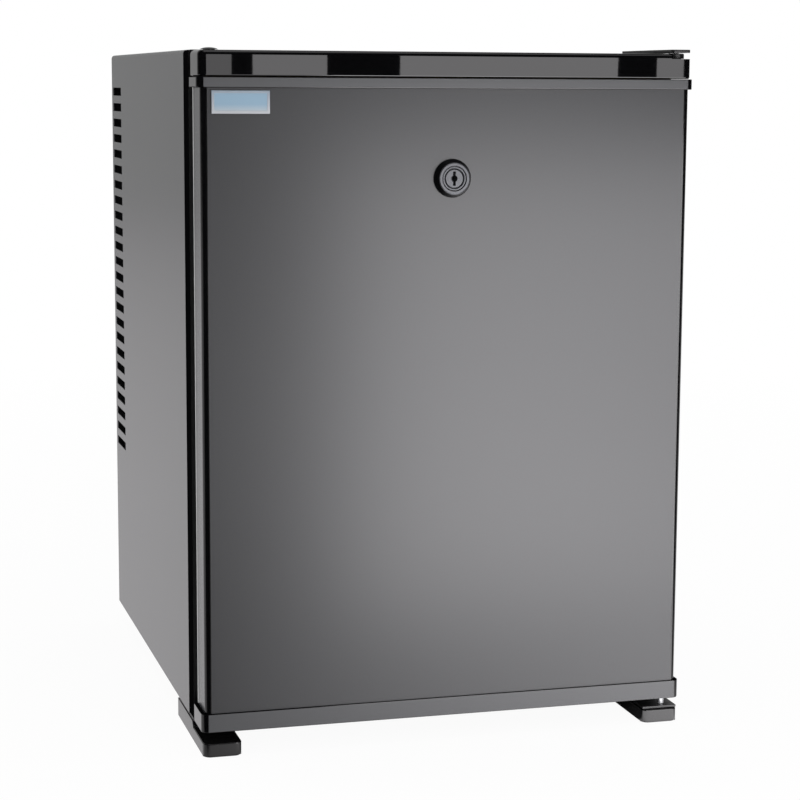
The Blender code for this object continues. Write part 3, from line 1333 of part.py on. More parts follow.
def screw_form(name, depth, gap, finish=None):
    """A countersunk screw, or with a gap and no finish, the hole that it sits in."""
    top = HINGE_PLATE_LOW + HINGE_PLATE
    bottom = top - SCREW_LENGTH - gap
    over = CUT_OVERSHOOT if finish is None else 0
    profile = [
        (0, top + over),
        (SCREW_HEAD_RADIUS + gap, top + over),
        (SCREW_HEAD_RADIUS + gap, top - gap),
        (SCREW_SHANK_RADIUS + gap, top - SCREW_HEAD_HEIGHT - gap),
        (SCREW_SHANK_RADIUS + gap, bottom),
        (0, bottom),
    ]
    if finish is not None:
        profile.remove((SCREW_HEAD_RADIUS, top))
    return turned(name, (SIDE_X - SCREW_INSET, depth, 0), "Z", profile, finish,
                  sides=SMALL_SIDES)


def make_lower_hinge():
    """Joggled steel plate between the right foot and the cabinet, with the pin standing in it."""
    low = FOOT_FRONT_HEIGHT + SEAT_GAP
    seat = LOWER_PLATE_SEAT
    bend = FOOT_STEP_DEPTH
    back = FOOT_LENGTH - FOOT_FRONT_PROUD
    outline = [
        (deep(LOWER_PLATE_FRONT), low),
        (deep(bend), low),
        (deep(bend + FOOT_STEP_SLOPE), seat),
        (deep(back), seat),
        (deep(back), seat + LOWER_PLATE),
        (deep(bend + FOOT_STEP_SLOPE - LOWER_PLATE / 2), seat + LOWER_PLATE),
        (deep(bend - LOWER_PLATE / 2), low + LOWER_PLATE),
        (deep(LOWER_PLATE_FRONT), low + LOWER_PLATE),
    ]
    lower = plate("hinge_plate_bottom", outline, "YZ",
                  (SIDE_X - FOOT_WIDTH + LIP_SIDE_PROUD, SIDE_X - HINGE_PLATE_SIDE_STEP),
                  "black_pipe")
    pin_low = FOOT_FRONT_HEIGHT - BOTTOM_PIN_SEAT
    pin_high = DOOR_LOW + BOTTOM_PIN_REACH
    hole = rod("bottom_pin_hole", (HINGE_X, HINGE_DEPTH, low), "Z", BOTTOM_PIN_RADIUS + SEAT_GAP,
               4 * LOWER_PLATE, sides=MEDIUM_SIDES)
    cut(lower, hole)
    rod("hinge_pin_bottom", (HINGE_X, HINGE_DEPTH, (pin_low + pin_high) / 2), "Z",
        BOTTOM_PIN_RADIUS, pin_high - pin_low, "zinc_steel", sides=MEDIUM_SIDES)


# Door

def make_door():
    barrel_hole = rod("barrel_hole", (0, 0, LOCK_HEIGHT), "Y", BARREL_RADIUS + SEAT_GAP,
                      4 * DOOR_THICKNESS)
    pieces = [
        cut(make_door_panel(), barrel_hole),
        cut(make_door_foam(), barrel_hole),
        cut(make_door_liner(), barrel_hole),
        make_gasket(),
        make_top_cap(),
        make_top_skirt(),
        make_bottom_cap(),
        make_bush(),
        make_hole_plug(),
        make_badge(),
        make_rack("door_rack_lower", DYKE_LOW + DYKE_WIDTH + SEAT_GAP),
        make_rack("door_rack_upper", UPPER_RACK_LOW),
        make_bezel(),
        make_barrel(),
        make_nut(),
        make_guide(),
    ]
    hang(pivot("door_hinge_axis", HINGE_X, HINGE_DEPTH, 0), *pieces)


def make_door_panel():
    """Painted steel sheet folded round the front of the door, with rounded upright edges."""
    return open_box(
        "door_panel", (-PANEL_X, PANEL_X), (0, PANEL_BACK), (PANEL_LOW, PANEL_TOP),
        ["+Y", "+Z", "-Z"], SHEET, "painted_steel", corner=PANEL_CORNER_RADIUS)


def make_door_foam():
    half = PANEL_X - SHEET - SEAT_GAP
    foam = block("door_foam", (-half, half), (SHEET + SEAT_GAP, PANEL_BACK),
                 (PANEL_LOW, PANEL_TOP - SEAT_GAP), "foam")
    round_edges(foam, PANEL_CORNER_RADIUS, along="Z", where=lambda middle: middle.y < 0)
    boss_room = rod("foam_boss_room", (HINGE_X, HINGE_DEPTH, DOOR_LOW), "Z",
                    BOTTOM_BOSS_RADIUS + SEAT_GAP, 2 * (BOTTOM_BOSS_HEIGHT + SEAT_GAP),
                    sides=MEDIUM_SIDES)
    return cut(foam, boss_room)


def make_door_liner():
    """White inner door: a flat sheet with a raised dyke that stands into the compartment."""
    liner = block("door_liner", (-PANEL_X, PANEL_X), (LINER_FRONT, DOOR_THICKNESS),
                  (DOOR_LOW + BOTTOM_CAP_HEIGHT + SEAT_GAP, PANEL_TOP), "white_plastic")
    dyke = ring("door_dyke", (-DYKE_X, DYKE_X), (DOOR_THICKNESS - WELD_DEPTH, DYKE_BACK),
                (DYKE_LOW, DYKE_TOP), DYKE_WIDTH, corner=DYKE_CORNER_RADIUS)
    notch = block(
        "bolt_guide_notch",
        (-GUIDE_WIDTH / 2 - SEAT_GAP, GUIDE_WIDTH / 2 + SEAT_GAP),
        (DOOR_THICKNESS, DYKE_BACK + CUT_OVERSHOOT),
        (DYKE_TOP - DYKE_WIDTH - CUT_OVERSHOOT, DYKE_TOP + CUT_OVERSHOOT))
    return cut(fuse(liner, dyke), notch)


def make_gasket():
    """Magnetic gasket: a wide base, a narrow neck and a wide head that meets the steel ring."""
    xs = (-SIDE_X + GASKET_MARGIN, SIDE_X - GASKET_MARGIN)
    zs = (DOOR_LOW + GASKET_MARGIN, DOOR_TOP - GASKET_MARGIN)
    neck = (DOOR_SEAT + GASKET_BASE, DOOR_SEAT + GASKET_BASE + GASKET_NECK)
    over = CUT_OVERSHOOT
    gasket = ring("door_gasket", xs, (DOOR_SEAT, FRAME_FRONT - SEAT_GAP), zs, GASKET_WIDTH,
                  "gasket_rubber")
    outer_groove = ring("gasket_outer_groove", (xs[0] - over, xs[1] + over), neck,
                        (zs[0] - over, zs[1] + over), GASKET_NECK + over)
    inset = GASKET_WIDTH - GASKET_NECK
    inner_groove = ring("gasket_inner_groove", (xs[0] + inset, xs[1] - inset), neck,
                        (zs[0] + inset, zs[1] - inset), GASKET_NECK + over)
    return cut(gasket, outer_groove, inner_groove)


def make_top_cap():
    """Gloss black end cap, hollow from below, with a pocket over the hinge."""
    half = SIDE_X - CAP_SIDE_STEP
    cap = block("door_top_cap", (-half, half), (0, DOOR_THICKNESS), (CAP_LOW, DOOR_TOP),
                "gloss_black_plastic")
    round_edges(cap, CAP_CORNER_RADIUS, along="Z", where=lambda middle: middle.y < 0)
    solid = SIDE_X - CAP_END_SOLID
    hollow = block("cap_hollow", (-solid, solid), (CAP_WALL, DOOR_THICKNESS - CAP_WALL),
                   (CAP_LOW - CUT_OVERSHOOT, DOOR_TOP - CAP_WALL))
    pocket = block("cap_pocket", (SIDE_X - POCKET_WIDTH, SIDE_X + CUT_OVERSHOOT),
                   (-CUT_OVERSHOOT, DOOR_THICKNESS + CUT_OVERSHOOT),
                   (POCKET_FLOOR, DOOR_TOP + CUT_OVERSHOOT))
    bush_hole = rod("top_bush_hole", (HINGE_X, HINGE_DEPTH, POCKET_FLOOR), "Z",
                    BUSH_RADIUS + SEAT_GAP, 4 * TOP_BUSH_LENGTH, sides=MEDIUM_SIDES)
    plug_hole = rod("hinge_plug_hole", (-HINGE_X, HINGE_DEPTH, DOOR_TOP), "Z",
                    BUSH_RADIUS + SEAT_GAP, 2 * (PLUG_STEM_LENGTH + SEAT_GAP), sides=MEDIUM_SIDES)
    return cut(cap, hollow, pocket, bush_hole, plug_hole)


def make_top_skirt():
    """Satin strip below the cap that laps over the panel's top edge and both its sides."""
    skirt = block("door_top_skirt", (-LIP_X, LIP_X), (-LIP_FRONT_PROUD, PANEL_BACK),
                  (PANEL_TOP - SKIRT_HEIGHT, PANEL_TOP), "satin_black_plastic")
    round_edges(skirt, CAP_CORNER_RADIUS, along="Z", where=lambda middle: middle.y < 0)
    return cut(skirt, lap_room("skirt_room", CABINET_DEPTH, 0))


def lap_room(name, back, low):
    """The space that a lapping strip leaves for the panel inside it."""
    half = PANEL_X + SEAT_GAP
    room = block(name, (-half, half), (-SEAT_GAP, back), (low, CABINET_TOP + CUT_OVERSHOOT))
    return round_edges(room, PANEL_CORNER_RADIUS + SEAT_GAP, along="Z",
                       where=lambda middle: middle.y < 0)


def make_bottom_cap():
    """Moulded tray that the foot of the panel stands in, with a bearing for the lower pin."""
    cap = block("door_bottom_cap", (-LIP_X, LIP_X), (-LIP_FRONT_PROUD, DOOR_THICKNESS),
                (DOOR_LOW, DOOR_LOW + BOTTOM_CAP_HEIGHT), "satin_black_plastic")
    round_edges(cap, CAP_CORNER_RADIUS, along="Z", where=lambda middle: middle.y < 0)
    cut(cap, lap_room("bottom_cap_room", LINER_FRONT, DOOR_LOW + CAP_WALL))
    low = DOOR_LOW - BOTTOM_BUSH_COLLAR
    high = DOOR_LOW + BOTTOM_BOSS_HEIGHT
    boss = rod("bottom_bush_boss", (HINGE_X, HINGE_DEPTH, (low + high) / 2), "Z",
               BOTTOM_BOSS_RADIUS, high - low, sides=MEDIUM_SIDES)
    bore = rod("bottom_bush_bore", (HINGE_X, HINGE_DEPTH, DOOR_LOW), "Z",
               BOTTOM_PIN_RADIUS + HINGE_CLEARANCE, 4 * BOTTOM_BOSS_HEIGHT, sides=MEDIUM_SIDES)
    return cut(fuse(cap, boss), bore)


def make_bush():
    """Flanged sleeve in the top cap's pocket, in which the upper pin turns."""
    bore = TOP_PIN_RADIUS + HINGE_CLEARANCE
    flange = POCKET_FLOOR + SEAT_GAP
    profile = [
        (BUSH_FLANGE_RADIUS, flange + TOP_BUSH_FLANGE),
        (BUSH_FLANGE_RADIUS, flange),
        (BUSH_RADIUS, flange),
        (BUSH_RADIUS, flange - TOP_BUSH_LENGTH),
        (bore, flange - TOP_BUSH_LENGTH),
        (bore, flange + TOP_BUSH_FLANGE),
    ]
    return turned("hinge_bush", (HINGE_X, HINGE_DEPTH, 0), "Z", profile, "satin_black_plastic",
                  sides=MEDIUM_SIDES, closed=True)


def make_hole_plug():
    """Domed plug in the hinge hole that a left-hung door would use."""
    face = DOOR_TOP + SEAT_GAP
    profile = [
        (0, face + PLUG_HEAD_HEIGHT),
        (PLUG_HEAD_RADIUS - PLUG_HEAD_CHAMFER, face + PLUG_HEAD_HEIGHT),
        (PLUG_HEAD_RADIUS, face + PLUG_HEAD_HEIGHT / 3),
        (PLUG_HEAD_RADIUS, face),
        (BUSH_RADIUS, face),
        (BUSH_RADIUS, DOOR_TOP - PLUG_STEM_LENGTH),
        (0, DOOR_TOP - PLUG_STEM_LENGTH),
    ]
    return turned("hinge_hole_plug", (-HINGE_X, HINGE_DEPTH, 0), "Z", profile,
                  "gloss_black_plastic", sides=MEDIUM_SIDES)


def make_badge():
    left = -PANEL_X + BADGE_SIDE_MARGIN
    top = PANEL_TOP - SKIRT_HEIGHT - BADGE_TOP_MARGIN
    badge = block("badge_plate", (left, left + BADGE_WIDTH),
                  (-SEAT_GAP - BADGE_THICKNESS, -SEAT_GAP), (top - BADGE_HEIGHT, top),
                  "badge_metal")
    return round_edges(badge, BADGE_BEVEL, where=lambda middle: middle.y < -BADGE_THICKNESS / 4,
                       steps=1)


def make_rack(name, low):
    """Open white bin between the dykes, with a window in its front wall."""
    half = DYKE_X - DYKE_WIDTH - SEAT_GAP
    back = DOOR_THICKNESS + RACK_DEPTH
    rack = open_box(name, (-half, half), (DOOR_SEAT, back), (low, low + RACK_HEIGHT), ["+Z"],
                    RACK_WALL, "white_plastic", corner=RACK_CORNER_RADIUS)
    window = block(
        name + "_window",
        (-half + RACK_WINDOW_MARGIN, half - RACK_WINDOW_MARGIN),
        (back - 2 * RACK_WALL, back + CUT_OVERSHOOT),
        (low + RACK_WINDOW_LOW, low + RACK_WINDOW_LOW + RACK_WINDOW_HEIGHT))
    return cut(rack, window)


# Lock

def make_lock():
    cylinder_pieces = [make_cylinder(), make_crank()]
    bolt_pieces = [make_bolt()]
    lock_axis = pivot("lock_axis", 0, 0, LOCK_HEIGHT)
    bolt_axis = pivot("bolt_axis", 0, BOLT_FRONT, LOCK_HEIGHT)
    hang(lock_axis, *cylinder_pieces)
    hang(bolt_axis, *bolt_pieces)
    hang(bpy.data.objects["door_hinge_axis"], lock_axis, bolt_axis)


def make_bezel():
    """Conical collar round the lock, standing proud of the door."""
    bore = BARREL_RADIUS + SEAT_GAP
    back = -SEAT_GAP
    profile = [
        (BEZEL_RADIUS, back),
        (BEZEL_RADIUS, back - BEZEL_RIM),
        (BEZEL_NOSE_RADIUS, -BEZEL_PROUD),
        (bore, -BEZEL_PROUD),
        (bore, back),
    ]
    return turned("lock_bezel", (0, 0, LOCK_HEIGHT), "Y", profile, "dark_metal", closed=True)


def make_barrel():
    bore = CYLINDER_RADIUS + CYLINDER_CLEARANCE
    profile = [
        (BARREL_RADIUS, BARREL_BACK),
        (BARREL_RADIUS, BARREL_FRONT),
        (bore, BARREL_FRONT),
        (bore, BARREL_BACK),
    ]
    return turned("lock_barrel", (0, 0, LOCK_HEIGHT), "Y", profile, "dark_metal", closed=True)


def make_cylinder():
    """The turning cylinder, with the keyhole in its front end."""
    middle = (CYLINDER_FRONT + CYLINDER_BACK) / 2
    cylinder = rod("lock_cylinder", (0, middle, LOCK_HEIGHT), "Y", CYLINDER_RADIUS,
                   CYLINDER_BACK - CYLINDER_FRONT, "dark_metal")
    slot = block(
        "keyhole_slot",
        (-KEYHOLE_SLOT_WIDTH / 2, KEYHOLE_SLOT_WIDTH / 2),
        (CYLINDER_FRONT - CUT_OVERSHOOT, CYLINDER_FRONT + KEYHOLE_DEPTH),
        (LOCK_HEIGHT - KEYHOLE_HEIGHT / 2, LOCK_HEIGHT + KEYHOLE_HEIGHT / 2))
    eye = rod("keyhole_eye", (0, CYLINDER_FRONT, LOCK_HEIGHT), "Y", KEYHOLE_EYE_RADIUS,
              2 * KEYHOLE_DEPTH, sides=SMALL_SIDES)
    return cut(cylinder, slot, eye)


def make_nut():
    middle = DOOR_SEAT + NUT_THICKNESS / 2
    nut = rod("lock_nut", (0, middle, LOCK_HEIGHT), "Y", NUT_RADIUS, NUT_THICKNESS, "zinc_steel",
              sides=NUT_SIDES)
    bore = rod("nut_bore", (0, middle, LOCK_HEIGHT), "Y", BARREL_RADIUS + SEAT_GAP,
               2 * NUT_THICKNESS)
    return cut(nut, bore)


def make_crank():
    """Disc on the back of the cylinder, with a pin that lifts the bolt."""
    crank = rod("lock_crank", (0, (CRANK_FRONT + CRANK_BACK) / 2, LOCK_HEIGHT), "Y",
                CRANK_RADIUS, CRANK_THICKNESS, "zinc_steel")
    start = CRANK_BACK - WELD_DEPTH
    pin = rod("crank_pin", (CRANK_PIN_X, (start + CRANK_PIN_BACK) / 2, CRANK_PIN_HEIGHT), "Y",
              CRANK_PIN_RADIUS, CRANK_PIN_BACK - start, sides=SMALL_SIDES)
    return fuse(crank, pin)


def make_bolt():
    """Flat bolt with a cross slot for the crank's pin, which rises into the keeper."""
    slot_half = CRANK_PIN_RADIUS + BOLT_SLOT_CLEARANCE
    slot_left = -CRANK_PIN_OFFSET - slot_half
    slot_right = CRANK_PIN_X + slot_half
    depths = (BOLT_FRONT, BOLT_BACK)
    bolt = block("lock_bolt", (-BOLT_WIDTH / 2, BOLT_WIDTH / 2), depths,
                 (CRANK_PIN_HEIGHT - slot_half - BOLT_FOOT_MARGIN, BOLT_TIP), "zinc_steel")
    round_edges(bolt, BOLT_TIP_RADIUS, along="Y", where=lambda middle: middle.z > 0)
    foot = block(
        "bolt_foot", (slot_left - BOLT_FOOT_MARGIN, BOLT_WIDTH / 2 - WELD_DEPTH), depths,
        (CRANK_PIN_HEIGHT - slot_half - BOLT_FOOT_MARGIN,
         CRANK_PIN_HEIGHT + slot_half + BOLT_FOOT_MARGIN))
    slot = block(
        "bolt_slot", (slot_left, slot_right),
        (BOLT_FRONT - CUT_OVERSHOOT, BOLT_BACK + CUT_OVERSHOOT),
        (CRANK_PIN_HEIGHT - slot_half, CRANK_PIN_HEIGHT + slot_half))
    return cut(fuse(bolt, foot), slot)


def make_guide():
    """White cover over the lock's works, with a slot in its top that guides the bolt."""
    guide = open_box(
        "bolt_guide", (-GUIDE_WIDTH / 2, GUIDE_WIDTH / 2), (DOOR_SEAT, GUIDE_BACK),
        (LOCK_HEIGHT - GUIDE_DROP, GUIDE_TOP), ["-Y"], GUIDE_WALL, "white_plastic",
        corner=GUIDE_EDGE_RADIUS)
    slot = block(
        "guide_slot", (-BOLT_WIDTH / 2 - SEAT_GAP, BOLT_WIDTH / 2 + SEAT_GAP),
        (BOLT_FRONT - SEAT_GAP, BOLT_BACK + SEAT_GAP),
        (GUIDE_TOP - 2 * GUIDE_WALL, GUIDE_TOP + CUT_OVERSHOOT))
    return cut(guide, slot)


# Thermostat

def make_thermostat():
    """Knob with a grip bar below it and a spindle that goes up into the housing."""
    face = CONTROL_LOW - SEAT_GAP
    profile = [
        (0, CONTROL_LOW + SPINDLE_LENGTH),
        (SPINDLE_RADIUS, CONTROL_LOW + SPINDLE_LENGTH),
        (SPINDLE_RADIUS, face),
        (KNOB_RADIUS, face),
        (KNOB_RADIUS - KNOB_TAPER, face - KNOB_HEIGHT),
        (0, face - KNOB_HEIGHT),
    ]
    knob = turned("thermostat_knob", (KNOB_X, KNOB_DEPTH, 0), "Z", profile, "white_plastic")
    reach = KNOB_RADIUS - 2 * KNOB_TAPER
    grip = block(
        "knob_grip", (KNOB_X - KNOB_GRIP_WIDTH / 2, KNOB_X + KNOB_GRIP_WIDTH / 2),
        (KNOB_DEPTH - reach, KNOB_DEPTH + reach),
        (face - KNOB_HEIGHT - KNOB_GRIP_HEIGHT, face - KNOB_HEIGHT + WELD_DEPTH))
    fuse(knob, grip)
    hang(pivot("thermostat_axis", KNOB_X, KNOB_DEPTH, CONTROL_LOW), knob)


# Assembly

def clear_scene():
    for old in list(bpy.data.objects):
        bpy.data.objects.remove(old)


def main():
    clear_scene()
    make_cabinet()
    make_compartment()
    make_cooling_unit()
    make_feet()
    make_fixed_hinges()
    make_door()
    make_lock()
    make_thermostat()


main()
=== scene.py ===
import math

import bmesh
import bpy
from mathutils import Matrix, Vector


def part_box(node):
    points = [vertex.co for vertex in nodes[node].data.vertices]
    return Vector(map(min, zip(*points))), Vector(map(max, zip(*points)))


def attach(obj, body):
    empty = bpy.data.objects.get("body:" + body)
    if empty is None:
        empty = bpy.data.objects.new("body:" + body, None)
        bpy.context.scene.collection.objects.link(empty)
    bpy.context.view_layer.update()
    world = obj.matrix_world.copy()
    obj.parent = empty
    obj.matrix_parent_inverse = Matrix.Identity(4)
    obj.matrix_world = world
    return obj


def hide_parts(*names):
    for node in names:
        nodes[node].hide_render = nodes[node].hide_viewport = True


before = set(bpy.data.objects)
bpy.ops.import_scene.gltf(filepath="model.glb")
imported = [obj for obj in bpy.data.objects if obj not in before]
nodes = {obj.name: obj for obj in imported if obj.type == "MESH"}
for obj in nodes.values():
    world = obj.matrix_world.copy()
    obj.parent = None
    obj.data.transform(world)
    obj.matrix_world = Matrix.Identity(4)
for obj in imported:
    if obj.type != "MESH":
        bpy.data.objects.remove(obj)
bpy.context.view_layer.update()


# Camera. It stands nearly two metres away, to the left of the door and almost level with the
# fridge's top, and a long lens looks slightly down, so upright edges stay almost parallel.
scene = bpy.context.scene
lens = bpy.data.cameras.new("Camera")
lens.lens = 96.2
eye = bpy.data.objects.new("Camera", lens)
scene.collection.objects.link(eye)
EYE_PLACE = (-0.4888, -1.8284, 0.5243)
EYE_YAW = math.radians(15.61)
EYE_PITCH = math.radians(8.40)
EYE_ROLL = math.radians(0.30)
eye.matrix_world = (
    Matrix.Translation(EYE_PLACE)
    @ Matrix.Rotation(-EYE_YAW, 4, "Z")
    @ Matrix.Rotation(math.radians(90) - EYE_PITCH, 4, "X")
    @ Matrix.Rotation(EYE_ROLL, 4, "Z"))
scene.camera = eye
scene.view_settings.view_transform = "Standard"


# Studio. A white cyclorama stands behind the fridge, and the room is dark where the camera
# stands. Two wide lamps light the object, and the others are only there to be mirrored by it.
def add(tree, kind, inputs=None, **settings):
    """Add one node with its settings. An input takes a value or another node's output, and is
    called by its number where several have one name, as the two ends of a Mix node do."""
    made = tree.nodes.new("ShaderNode" + kind)
    for name, value in settings.items():
        setattr(made, name, value)
    for name, value in (inputs or {}).items():
        if isinstance(value, bpy.types.NodeSocket):
            tree.links.new(value, made.inputs[name])
        else:
            made.inputs[name].default_value = value
    return made


def tint(code):
    """A colour written as sRGB hex, turned to the linear values that a shader takes."""
    parts = [int(code[at:at + 2], 16) / 255 for at in (1, 3, 5)]
    return (*(part / 12.92 if part <= 0.04045 else ((part + 0.055) / 1.055) ** 2.4
              for part in parts), 1.0)


# The walls' brightness goes by Y, from the camera's side to the back: one course for what gloss
# mirrors, a fuller one for what lights the object, and plain white for the camera.
room = bpy.data.worlds.new("Studio")
scene.world = room
room.use_nodes = True
walls = room.node_tree
walls.nodes.clear()
ray = add(walls, "LightPath").outputs
way = add(walls, "SeparateXYZ", {0: add(walls, "TexCoord").outputs["Generated"]}).outputs["Y"]
mirrored_wall = add(walls, "MapRange", {"Value": way, "From Min": 0.40, "From Max": 0.75,
                                        "To Min": 0.01, "To Max": 0.45})
lighting_wall = add(walls, "MapRange", {"Value": way, "From Min": -0.80, "From Max": 0.60,
                                        "To Min": 0.38, "To Max": 0.95})
wall = add(walls, "Mix", {0: ray["Is Glossy Ray"], 2: lighting_wall.outputs[0],
                          3: mirrored_wall.outputs[0]})
seen = add(walls, "Mix", {0: ray["Is Camera Ray"], 2: wall.outputs[0], 3: 1.0})
sky = add(walls, "Background", {"Color": tint("#FFFFFF"), "Strength": seen.outputs[0]})
walls.links.new(sky.outputs[0], add(walls, "OutputWorld").inputs["Surface"])


LAMP_WHITE = tint("#FFFDFF")


def softbox(name, place, target, width, height, radiance, lights=True, mirrored=True):
    """A diffused lamp set by its surface brightness. It can light only, or only be mirrored."""
    lamp = bpy.data.lights.new(name, "AREA")
    lamp.shape = "RECTANGLE"
    lamp.size = width
    lamp.size_y = height
    lamp.energy = radiance * math.pi * width * height
    lamp.color = LAMP_WHITE[:3]
    holder = bpy.data.objects.new(name, lamp)
    scene.collection.objects.link(holder)
    turn = (Vector(target) - Vector(place)).to_track_quat("-Z", "Y")
    holder.matrix_world = Matrix.Translation(place) @ turn.to_matrix().to_4x4()
    holder.visible_camera = False
    holder.visible_diffuse = lights
    holder.visible_glossy = mirrored


# The strip lamps show in the polished top cap. Each has its left edge, right edge and brightness.
STRIPS = ((0.035, 0.071, 2.0), (0.100, 0.203, 3.1), (0.306, 0.625, 3.4), (0.684, 0.725, 3.1))
STRIP_Y = -1.478
STRIP_Z = 0.56
STRIP_HEIGHT = 0.20
for number, (left, right, radiance) in enumerate(STRIPS, 1):
    middle = (left + right) / 2
    softbox("strip_lamp_%d" % number, (middle, STRIP_Y, STRIP_Z), (middle, 0, STRIP_Z),
            right - left, STRIP_HEIGHT, radiance, lights=False)
# The key lamp is the soft glow on the door, and the last two light the object.
softbox("key_lamp", place=(0.282, -0.63, 0.224), target=(0.282, 0, 0.224), width=0.55,
        height=0.49, radiance=5.85, lights=False)
softbox("front_lamp", place=(0.15, -2.0, 1.0), target=(0, 0, 0.25), width=1.6, height=1.2,
        radiance=3.6, mirrored=False)
softbox("overhead_lamp", place=(0.1, -0.3, 2.4), target=(0, 0, 0.2), width=1.6, height=1.6,
        radiance=1.0)

FLOOR_SIZE = 14
bpy.ops.mesh.primitive_plane_add(size=FLOOR_SIZE, location=(0, 0, 0))
floor = bpy.context.object
floor.name = "studio_floor"
sweep = bpy.data.materials.new("Painted cyclorama floor")
sweep.use_nodes = True
tree = sweep.node_tree
tree.nodes.clear()
floor_ray = add(tree, "LightPath").outputs
floor_spot = add(tree, "TexCoord").outputs["Object"]
spot = add(tree, "SeparateXYZ", {0: floor_spot}).outputs
# The camera sees a little of the floor's own shading near the object, and white further out.
far = add(tree, "VectorMath", {0: floor_spot}, operation="LENGTH")
even = add(tree, "MapRange", {"Value": far.outputs["Value"], "From Min": 0.6, "From Max": 2.2,
                              "To Min": 0.95, "To Max": 1.0})
matt = add(tree, "BsdfDiffuse", {"Color": tint("#F4F4F3")})
white = add(tree, "Emission", {"Color": tint("#FFFFFF"), "Strength": 1.0})
share = add(tree, "Math", {0: floor_ray["Is Camera Ray"], 1: even.outputs[0]},
            operation="MULTIPLY")
lit = add(tree, "MixShader", {0: share.outputs[0], 1: matt.outputs[0], 2: white.outputs[0]})


def patch(*stretches):
    """How bright a patch of the floor is in gloss. Along each stretch of one direction it
    changes evenly from one level to another, and all the stretches multiply."""
    level = 1.0
    for along, start, end, before, after in stretches:
        change = add(tree, "MapRange", {"Value": along, "From Min": start, "From Max": end,
                                        "To Min": before, "To Max": after})
        level = add(tree, "Math", {0: level, 1: change.outputs[0]},
                    operation="MULTIPLY").outputs[0]
    return level


# In gloss the floor glows as painted light, brightest in front of the door, toward its right, and
# it ends beyond both sides of it and under it. Behind the door it glows evenly pale, and a painted
# shadow keeps it dark under the cabinet.
slant = add(tree, "Math", {0: spot["X"], 1: 0.8, 2: spot["Y"]}, operation="MULTIPLY_ADD")
front = patch((spot["X"], -0.215, -0.195, 0.0, 1.0),
              (spot["X"], -0.19, 0.25, 0.6, 3.1),
              (spot["X"], 0.45, 0.75, 1.0, 0.01),
              (slant.outputs[0], -0.07, -0.03, 1.0, 0.01),
              (spot["Y"], -0.235, -0.215, 1.0, 0.01),
              (spot["Y"], -0.70, -0.36, 1.0, 1.6))
rear = patch((spot["Y"], -0.250, -0.225, 0.0, 1.0), (spot["Y"], 0.9, 6.5, 0.80, 0.50))
under = patch((spot["X"], -0.20, -0.19, 0.0, 1.0), (spot["X"], 0.19, 0.20, 1.0, 0.0),
              (spot["Y"], 0.20, 0.24, 1.0, 0.0))
open_floor = add(tree, "Math", {0: 1.0, 1: under}, operation="SUBTRACT")
open_rear = add(tree, "Math", {0: rear, 1: open_floor.outputs[0]}, operation="MULTIPLY")
lighter = add(tree, "Math", {0: open_rear.outputs[0], 1: front}, operation="MAXIMUM")
painted_gloss_glow = add(tree, "Emission", {"Color": LAMP_WHITE, "Strength": lighter.outputs[0]})
blend = add(tree, "MixShader", {0: floor_ray["Is Glossy Ray"], 1: lit.outputs[0],
                                2: painted_gloss_glow.outputs[0]})
tree.links.new(blend.outputs[0], add(tree, "OutputMaterial").inputs["Surface"])
floor.data.materials.append(sweep)


# Cabinet skin. Pre-painted steel 0.8 mm thick, folded over both sides and the top, with a hem
# at the foot, a flange at the rear and a row of punched vent slots in each side.
def only(piece):
    """Select one piece alone and make it active."""
    bpy.ops.object.select_all(action="DESELECT")
    piece.select_set(True)
    bpy.context.view_layer.objects.active = piece


def block(name, low, high):
    """A box between two opposite corners, given in either order."""
    bpy.ops.object.select_all(action="DESELECT")
    low, high = Vector(map(min, low, high)), Vector(map(max, low, high))
    bpy.ops.mesh.primitive_cube_add(size=1, location=(low + high) / 2, scale=high - low)
    piece = bpy.context.object
    piece.name = name
    bpy.ops.object.transform_apply(location=True, rotation=True, scale=True)
    return piece


def pick(piece, kind, test):
    """Open a piece in edit mode with the edges or faces that pass a test selected."""
    only(piece)
    bpy.ops.object.mode_set(mode="EDIT")
    bpy.ops.mesh.select_mode(type=kind)
    bpy.ops.mesh.select_all(action="DESELECT")
    mesh = bmesh.from_edit_mesh(piece.data)
    mesh.normal_update()
    for item in (mesh.edges if kind == "EDGE" else mesh.faces):
        if test(item):
            item.select_set(True)
    bmesh.update_edit_mesh(piece.data)


def done():
    """Close edit mode."""
    bpy.ops.object.mode_set(mode="OBJECT")


def runs(edge, axis):
    """True for an edge that lies along X, Y or Z."""
    way_along = edge.verts[1].co - edge.verts[0].co
    return abs(way_along["XYZ".index(axis)]) > 0.99 * way_along.length


def round_over(piece, radius, steps=4, test=None):
    """Round the sharp edges that pass a test."""
    pick(piece, "EDGE", lambda edge: len(edge.link_faces) == 2
         and edge.calc_face_angle() > math.radians(25) and (test is None or test(edge)))
    bpy.ops.mesh.bevel(offset=radius, segments=steps, affect="EDGES")
    done()


def drop_faces(piece, test):
    """Remove the faces that pass a test, so that a surface is left."""
    pick(piece, "FACE", test)
    bpy.ops.mesh.delete(type="FACE")
    done()


def give_wall(piece, wall, outward=False):
    """Turn a surface into sheet, thickened inward unless told otherwise."""
    only(piece)
    shell = piece.modifiers.new("Wall", "SOLIDIFY")
    shell.thickness = wall
    shell.offset = 1 if outward else -1
    shell.use_even_offset = True
    bpy.ops.object.modifier_apply(modifier="Wall")


def carve(piece, *cutters):
    """Cut other shapes out of a piece, and remove them."""
    for cutter in cutters:
        only(piece)
        step = piece.modifiers.new("Cut", "BOOLEAN")
        step.operation = "DIFFERENCE"
        step.solver = "EXACT"
        step.object = cutter
        bpy.ops.object.modifier_apply(modifier="Cut")
        bpy.data.objects.remove(cutter)
    return piece


